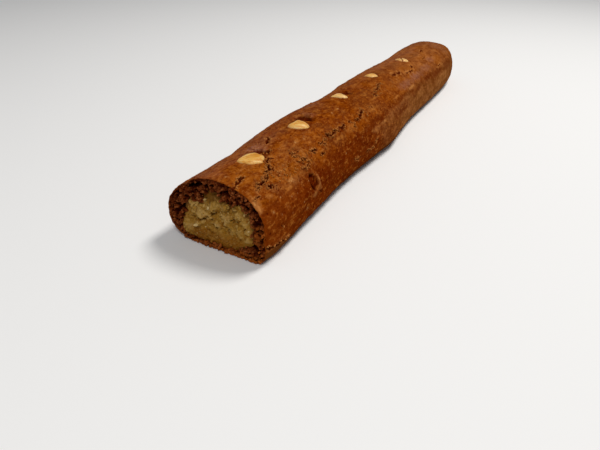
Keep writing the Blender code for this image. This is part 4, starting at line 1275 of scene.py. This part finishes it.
# ---- materials ------------------------------------------------------------------------------------------------------
class Nodes:
    """Short calls for building a node material."""

    def __init__(self, name):
        self.material = bpy.data.materials.new(name)
        self.material.use_nodes = True
        self.tree = self.material.node_tree
        self.shader = self.tree.nodes["Principled BSDF"]
        self.place = self.tree.nodes.new("ShaderNodeTexCoord").outputs["Object"]

    def link(self, a, b):
        self.tree.links.new(a, b)

    def put(self, socket, value):
        if isinstance(value, bpy.types.NodeSocket):
            self.link(value, socket)
        else:
            socket.default_value = value

    def noise(self, size_mm, detail=3.0, rough=0.55, distort=0.0, at=None):
        node = self.tree.nodes.new("ShaderNodeTexNoise")
        node.inputs["Scale"].default_value = 1000.0 / size_mm
        node.inputs["Detail"].default_value = detail
        node.inputs["Roughness"].default_value = rough
        node.inputs["Distortion"].default_value = distort
        self.link(at or self.place, node.inputs["Vector"])
        return node.outputs["Fac"]

    def cells(self, size_mm, feature="F1", at=None):
        node = self.tree.nodes.new("ShaderNodeTexVoronoi")
        node.feature = feature
        node.inputs["Scale"].default_value = 1000.0 / size_mm
        self.link(at or self.place, node.inputs["Vector"])
        return node.outputs["Distance"]

    def stretched(self, scale, turn=(0, 0, 0)):
        node = self.tree.nodes.new("ShaderNodeMapping")
        node.inputs["Scale"].default_value = scale
        node.inputs["Rotation"].default_value = turn
        self.link(self.place, node.inputs["Vector"])
        return node.outputs["Vector"]

    def mark(self, name):
        node = self.tree.nodes.new("ShaderNodeAttribute")
        node.attribute_name = name
        return node.outputs["Fac"]

    def range(self, value, a, b, c=0.0, d=1.0):
        node = self.tree.nodes.new("ShaderNodeMapRange")
        node.interpolation_type = "SMOOTHSTEP"
        self.put(node.inputs["Value"], value)
        for key, number in zip(("From Min", "From Max", "To Min", "To Max"), (a, b, c, d)):
            node.inputs[key].default_value = number
        return node.outputs["Result"]

    def math(self, operation, a, b=0.0, clamp=False):
        node = self.tree.nodes.new("ShaderNodeMath")
        node.operation = operation
        node.use_clamp = clamp
        self.put(node.inputs[0], a)
        self.put(node.inputs[1], b)
        return node.outputs[0]

    def mix(self, amount, a, b, blend="MIX"):
        node = self.tree.nodes.new("ShaderNodeMix")
        node.data_type = "RGBA"
        node.blend_type = blend
        self.put(node.inputs["Factor"], amount)
        for socket, value in ((node.inputs[6], a), (node.inputs[7], b)):
            self.put(socket, (*value, 1.0) if isinstance(value, tuple) and len(value) == 3 else value)
        return node.outputs[2]

    def bump(self, height, distance_mm, strength=1.0, under=None):
        node = self.tree.nodes.new("ShaderNodeBump")
        node.inputs["Strength"].default_value = strength
        node.inputs["Distance"].default_value = distance_mm / 1000
        self.link(height, node.inputs["Height"])
        if under is not None:
            self.link(under, node.inputs["Normal"])
        return node.outputs["Normal"]

    def axis(self, index):
        node = self.tree.nodes.new("ShaderNodeSeparateXYZ")
        self.link(self.place, node.inputs[0])
        return node.outputs[index]

    def facing(self, index):
        geometry = self.tree.nodes.new("ShaderNodeNewGeometry")
        node = self.tree.nodes.new("ShaderNodeSeparateXYZ")
        self.link(geometry.outputs["Normal"], node.inputs[0])
        return node.outputs[index]


def skin_material():
    k = Nodes("baked_skin")
    further = k.range(k.axis(0), -0.070, 0.090)  # drier and paler towards the closed end
    cut_end = k.range(k.axis(0), -0.128, -0.156)
    waist = k.math("MULTIPLY", k.range(k.axis(0), -0.128, -0.090), k.range(k.axis(0), 0.045, -0.020))
    closed = k.range(k.axis(0), 0.100, 0.150)
    k.place = k.stretched((0.62, 1.0, 1.0))
    large = k.noise(9.0, 3.0, 0.55, 0.3)
    medium = k.noise(3.6, 4.0, 0.6, 0.4)
    fine = k.noise(1.7, 4.0, 0.65)
    grain = k.noise(0.95, 3.0, 0.7)
    dust = k.noise(0.50, 2.0, 0.6)
    soft = k.range(medium, 0.38, 0.62)
    blotch = k.noise(12.0, 2.5, 0.55, 0.4)
    crisp = k.math("SUBTRACT", 1.0, k.math("MULTIPLY", further, 0.62))
    speck = k.math("MULTIPLY", crisp, k.range(k.mark("tone"), 0.0, 1.0, 0.35, 0.85))

    def eased(a, b, amount, field, by):
        return k.math("MULTIPLY", k.range(field, a, b, 0.0, amount), by)

    top = k.mix(soft, (0.198, 0.035, 0.0008), (0.318, 0.079, 0.0036))
    top = k.mix(k.math("MULTIPLY", waist, 0.85), top, k.mix(soft, (0.152, 0.024, 0.0004), (0.250, 0.055, 0.0018)))
    top = k.mix(k.math("MULTIPLY", further, 0.85), top, k.mix(soft, (0.200, 0.050, 0.0080), (0.335, 0.106, 0.0230)))
    side = k.mix(soft, (0.122, 0.0145, 0.0004), (0.182, 0.029, 0.0012))
    side = k.mix(k.math("MULTIPLY", cut_end, 0.60), side, (0.235, 0.045, 0.0030))
    side = k.mix(k.math("MULTIPLY", further, 0.9), side, k.mix(soft, (0.125, 0.030, 0.0035), (0.205, 0.062, 0.0105)))
    colour = k.mix(k.mark("tone"), side, top)
    colour = k.mix(k.math("MULTIPLY", k.mark("tan"), 0.88), colour, k.mix(soft, (0.225, 0.076, 0.0150), (0.350, 0.134, 0.0370)))
    colour = k.mix(k.range(large, 0.60, 0.42, 0.0, 0.24), colour, (0.130, 0.018, 0.0005))
    colour = k.mix(eased(0.50, 0.62, 0.42, blotch, k.mark("tone")), colour, (0.175, 0.052, 0.0150))
    colour = k.mix(eased(0.47, 0.37, 0.35, blotch, k.mark("tone")), colour, (0.330, 0.086, 0.0030))
    colour = k.mix(k.math("MULTIPLY", k.mark("red"), 0.66), colour, (0.095, 0.0100, 0.0003))
    # light and dark grain
    light = k.mix(further, (0.45, 0.148, 0.0210), (0.44, 0.170, 0.0420))
    colour = k.mix(eased(0.53, 0.66, 0.54, fine, crisp), colour, light)
    colour = k.mix(eased(0.47, 0.34, 0.62, fine, crisp), colour, (0.100, 0.0105, 0.0002))
    colour = k.mix(eased(0.56, 0.68, 0.56, grain, speck), colour, (0.50, 0.185, 0.0380))
    colour = k.mix(eased(0.44, 0.32, 0.62, grain, crisp), colour, (0.085, 0.0075, 0.0002))
    colour = k.mix(eased(0.65, 0.77, 0.38, dust, speck), colour, (0.62, 0.30, 0.090))
    # dry light patches, and painted sheen: a greyer reflection colour on the glazed patches
    colour = k.mix(k.math("MULTIPLY", k.mark("pale"), k.range(fine, 0.30, 0.58, 0.25, 0.88)), colour, (0.50, 0.200, 0.052))
    colour = k.mix(k.math("MULTIPLY", k.mark("sheen"), k.range(fine, 0.38, 0.58, 0.18, 0.85)), colour, (0.310, 0.118, 0.064))
    colour = k.mix(k.math("MULTIPLY", closed, 0.42), colour, (0.150, 0.044, 0.0080))
    crown = k.math("MULTIPLY", waist, k.mark("tone"))
    colour = k.mix(crown, colour, (0.94, 0.82, 0.50), blend="MULTIPLY")
    # tan band along the foot, greyest near the cut
    foot = k.mix(cut_end, (0.070, 0.017, 0.0016), (0.128, 0.042, 0.0090))
    colour = k.mix(k.math("MULTIPLY", k.mark("strip"), k.range(fine, 0.35, 0.60, 0.65, 0.95)), colour, foot)
    # broken edges show the dry dough, partly painted highlight on raised edges; cracks show the dark crumb, deepened
    # with painted shade, as are pits, creases, hollows, the blister and the gaps by the almonds
    colour = k.mix(k.math("MULTIPLY", k.mark("lip"), k.range(fine, 0.30, 0.56, 0.35, 0.95)), colour, (0.49, 0.190, 0.045))
    colour = k.mix(k.math("MULTIPLY", k.mark("rim"), 0.45), colour, (0.19, 0.038, 0.003))
    colour = k.mix(k.range(k.mark("crack_and_shade"), 0.08, 0.45, 0.0, 0.88), colour, (0.080, 0.0060, 0.0002))
    colour = k.mix(k.range(k.mark("crack_and_shade"), 0.62, 1.00, 0.0, 0.85), colour, (0.038, 0.0015, 0.0001))
    # painted glints: small bright highlight specks
    colour = k.mix(k.math("MULTIPLY", k.mark("glint"), 0.60), colour, (0.68, 0.38, 0.14))
    k.link(colour, k.shader.inputs["Base Color"])

    k.link(k.range(medium, 0.3, 0.7, 0.60, 0.75), k.shader.inputs["Roughness"])
    k.shader.inputs["Specular IOR Level"].default_value = 0.0
    # a thin baked glaze, mostly on the crown
    glaze = k.math("MULTIPLY", k.math("SUBTRACT", 1.0, k.mark("crack_and_shade")), k.math("ADD", k.range(large, 0.42, 0.62, 0.003, 0.034), k.math("MULTIPLY", k.mark("sheen"), 0.22)))
    k.link(k.math("MULTIPLY", glaze, k.mark("tone")), k.shader.inputs["Coat Weight"])
    k.shader.inputs["Coat Roughness"].default_value = 0.34
    k.shader.inputs["Coat IOR"].default_value = 1.5

    first = k.bump(fine, 0.60, 0.85)
    second = k.bump(k.noise(0.8, 3.0, 0.65), 0.28, 0.85, first)
    k.link(second, k.shader.inputs["Normal"])
    k.link(second, k.shader.inputs["Coat Normal"])
    return k.material


def crumb_material():
    k = Nodes("dark_crumb")
    medium = k.noise(2.6, 4.0, 0.6, 0.3)
    fine = k.noise(0.85, 4.0, 0.65)
    colour = k.mix(k.range(medium, 0.35, 0.66), (0.082, 0.0095, 0.0005), (0.160, 0.0260, 0.0026))
    # painted highlight on the lumps' tips
    painted_tip_highlight = k.math("MULTIPLY", k.mark("bright"), k.range(fine, 0.34, 0.60, 0.35, 1.0))
    colour = k.mix(k.math("MULTIPLY", painted_tip_highlight, 0.95), colour, (0.345, 0.105, 0.0280))
    colour = k.mix(k.range(k.noise(4.6, 2.0, 0.5, 0.2), 0.56, 0.40, 0.0, 0.50), colour, (0.042, 0.0038, 0.0003))
    colour = k.mix(k.math("MULTIPLY", k.mark("foot"), k.range(medium, 0.36, 0.60, 0.28, 0.74)), colour, (0.420, 0.102, 0.0115))
    colour = k.mix(k.range(fine, 0.57, 0.71, 0.0, 0.60), colour, (0.42, 0.150, 0.050))
    colour = k.mix(k.range(fine, 0.45, 0.32, 0.0, 0.62), colour, (0.040, 0.0028, 0.0002))
    # painted shade in the pores and between the lumps
    colour = k.mix(k.range(k.mark("deep"), 0.20, 0.80, 0.0, 0.93), colour, (0.0290, 0.0013, 0.0002))
    k.link(colour, k.shader.inputs["Base Color"])
    k.link(k.range(fine, 0.3, 0.7, 0.60, 0.85), k.shader.inputs["Roughness"])
    k.shader.inputs["Specular IOR Level"].default_value = 0.02
    k.shader.inputs["Specular Tint"].default_value = (1.0, 0.75, 0.5, 1.0)
    first = k.bump(k.noise(1.2, 4.0, 0.65), 0.55, 0.8)
    second = k.bump(k.noise(0.42, 3.0, 0.7), 0.16, 0.8, first)
    k.link(second, k.shader.inputs["Normal"])
    return k.material


def paste_material():
    k = Nodes("baked_almond_paste")
    medium = k.noise(3.6, 4.0, 0.6, 0.3)
    fine = k.noise(1.0, 4.0, 0.65)
    colour = k.mix(k.range(medium, 0.36, 0.64), (0.305, 0.145, 0.0150), (0.385, 0.205, 0.0380))
    # painted light and shade: raised lumps lighter, low places darker
    colour = k.mix(k.range(k.mark("lump"), 0.10, 0.45, 0.60, 0.0), colour, (0.250, 0.104, 0.0055))
    colour = k.mix(k.range(k.mark("lump"), 0.45, 1.0, 0.0, 0.70), colour, (0.495, 0.305, 0.0950))
    colour = k.mix(k.math("MULTIPLY", k.mark("amber"), 0.88), colour, (0.226, 0.075, 0.0020))
    colour = k.mix(k.range(fine, 0.57, 0.72, 0.0, 0.45), colour, (0.60, 0.395, 0.150))
    colour = k.mix(k.range(fine, 0.43, 0.29, 0.0, 0.40), colour, (0.185, 0.070, 0.0025))
    colour = k.mix(k.range(k.mark("speck"), 0.45, 1.0, 0.0, 0.80), colour, (0.70, 0.510, 0.230))
    # darker towards the paste's edge
    edge_patchiness = k.range(medium, 0.38, 0.58, 0.35, 1.0)
    colour = k.mix(k.math("MULTIPLY", k.mark("edge"), k.math("MULTIPLY", edge_patchiness, 0.80)), colour, (0.135, 0.042, 0.004))
    # painted shade in the clefts and the hollow under the crumb
    colour = k.mix(k.math("MULTIPLY", k.mark("deep"), 0.74), colour, (0.110, 0.036, 0.0012))
    k.link(colour, k.shader.inputs["Base Color"])
    k.link(k.range(fine, 0.3, 0.7, 0.38, 0.58), k.shader.inputs["Roughness"])
    k.shader.inputs["Specular IOR Level"].default_value = 0.10
    k.shader.inputs["Specular Tint"].default_value = (1.0, 0.85, 0.62, 1.0)
    k.shader.inputs["Subsurface Weight"].default_value = 0.06
    k.shader.inputs["Subsurface Radius"].default_value = (0.0020, 0.0012, 0.0005)
    k.shader.inputs["Subsurface Scale"].default_value = 1.0
    first = k.bump(k.noise(1.5, 4.0, 0.6), 0.35, 0.7)
    second = k.bump(k.noise(0.5, 3.0, 0.7), 0.12, 0.7, first)
    k.link(second, k.shader.inputs["Normal"])
    return k.material


def almond_material():
    k = Nodes("blanched_almond_skinless")
    along = k.noise(1.5, 4.0, 0.6, 0.6, at=k.stretched((0.16, 1.0, 1.0)))
    medium = k.noise(3.5, 3.0, 0.55)
    fine = k.noise(0.6, 3.0, 0.6)
    colour = k.mix(k.range(medium, 0.38, 0.62), (0.640, 0.275, 0.030), (0.755, 0.395, 0.072))
    colour = k.mix(k.range(along, 0.53, 0.66, 0.0, 0.75), colour, (0.84, 0.540, 0.165))
    colour = k.mix(k.range(along, 0.47, 0.36, 0.0, 0.80), colour, (0.520, 0.190, 0.012))
    colour = k.mix(k.range(k.mark("streak"), 0.15, 0.95, 0.0, 0.60), colour, (0.85, 0.555, 0.180))
    colour = k.mix(k.range(k.mark("streak"), -0.15, -0.95, 0.0, 0.60), colour, (0.555, 0.210, 0.014))
    colour = k.mix(k.math("MULTIPLY", k.mark("flush"), 0.80), colour, (0.62, 0.245, 0.008))
    colour = k.mix(k.math("MULTIPLY", k.mark("edge"), k.range(medium, 0.42, 0.58, 0.15, 0.60)), colour, (0.83, 0.520, 0.200))
    colour = k.mix(k.range(fine, 0.60, 0.76, 0.0, 0.25), colour, (0.90, 0.68, 0.34))
    colour = k.mix(k.math("MULTIPLY", k.mark("wan"), 0.55), colour, (0.93, 0.60, 0.245))
    colour = k.mix(k.math("MULTIPLY", k.mark("cover"), k.range(fine, 0.35, 0.60, 0.65, 1.0)), colour, (0.42, 0.165, 0.040))
    colour = k.mix(k.range(k.mark("split"), 0.30, 0.70, 0.0, 0.95), colour, (0.30, 0.095, 0.018))
    k.link(colour, k.shader.inputs["Base Color"])
    k.link(k.range(medium, 0.3, 0.7, 0.30, 0.45), k.shader.inputs["Roughness"])
    k.shader.inputs["Specular IOR Level"].default_value = 0.35
    k.shader.inputs["Specular Tint"].default_value = (1.0, 0.92, 0.80, 1.0)
    k.shader.inputs["Subsurface Weight"].default_value = 0.12
    k.shader.inputs["Subsurface Radius"].default_value = (0.0030, 0.0016, 0.0007)
    k.shader.inputs["Subsurface Scale"].default_value = 1.0
    k.link(k.bump(along, 0.30, 0.6), k.shader.inputs["Normal"])
    return k.material


def floor_material():
    k = Nodes("pale_floor")
    k.shader.inputs["Base Color"].default_value = (0.90, 0.90, 0.895, 1)
    k.shader.inputs["Roughness"].default_value = 0.75
    k.shader.inputs["Specular IOR Level"].default_value = 0.2
    return k.material


# ---- put together ---------------------------------------------------------------------------------------------------
skin, crumbs, first_ring = build_skin(skin_material())
crumb = build_crumb(crumb_material(), first_ring)
paste = build_paste(paste_material())
nut = almond_material()
halves = [build_almond(n, nut) for n in range(len(ALMONDS))]

for piece in (skin, crumbs, crumb):
    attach(piece, "root")
    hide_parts("crust")
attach(paste, "root")
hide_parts("filling")
for n, half in enumerate(halves, start=1):
    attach(half, "root")
    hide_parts(f"almond_{n}")

floor_mesh = bpy.data.meshes.new("floor")
floor_mesh.from_pydata([(-4, -4, 0), (4, -4, 0), (4, 4, 0), (-4, 4, 0)], [], [(0, 1, 2, 3)])
floor_mesh.materials.append(floor_material())
floor = bpy.data.objects.new("floor", floor_mesh)
floor.location.z = -0.0002
bpy.context.scene.collection.objects.link(floor)


def area_light(name, where, target, size, watts, colour):
    data = bpy.data.lights.new(name, "AREA")
    data.shape = "DISK"
    data.size = size
    data.energy = watts
    data.color = colour
    light = bpy.data.objects.new(name, data)
    light.location = where
    light.rotation_mode = "QUATERNION"
    light.rotation_quaternion = (Vector(target) - Vector(where)).to_track_quat("-Z", "Y")
    bpy.context.scene.collection.objects.link(light)
    return light


area_light("key", (0.35, -0.25, 0.95), (0.0, 0.0, 0.02), 0.36, 7.2, (1.0, 0.975, 0.94))
area_light("fill", (-0.66, -0.28, 0.78), (-0.12, 0.0, 0.02), 0.34, 3.2, (1.0, 0.99, 0.97))

world = bpy.data.worlds.new("studio")
world.use_nodes = True
background = world.node_tree.nodes["Background"]
background.inputs["Color"].default_value = (0.93, 0.95, 1.0, 1)
background.inputs["Strength"].default_value = 0.20
bpy.context.scene.world = world
bpy.context.scene.view_settings.view_transform = "Standard"

# camera: near the cut end, above and in front of the -Y side
camera_data = bpy.data.cameras.new("camera")
camera_data.sensor_width = 36.0
camera_data.lens = 29.47
camera_data.clip_start = 0.01
camera = bpy.data.objects.new("camera", camera_data)
right = Vector((0.4764614, -0.8787751, 0.0271808)).normalized()
forward = Vector((0.7468764, 0.3882498, -0.5398498)).normalized()
upward = right.cross(forward).normalized()
place = Vector((-LENGTH / 2 - 0.1376008, -0.1108113 + CENTRE_Y, 0.1253896))
camera.matrix_world = Matrix(
    (
        (right.x, upward.x, -forward.x, place.x),
        (right.y, upward.y, -forward.y, place.y),
        (right.z, upward.z, -forward.z, place.z),
        (0, 0, 0, 1),
    )
)
bpy.context.scene.collection.objects.link(camera)
bpy.context.scene.camera = camera
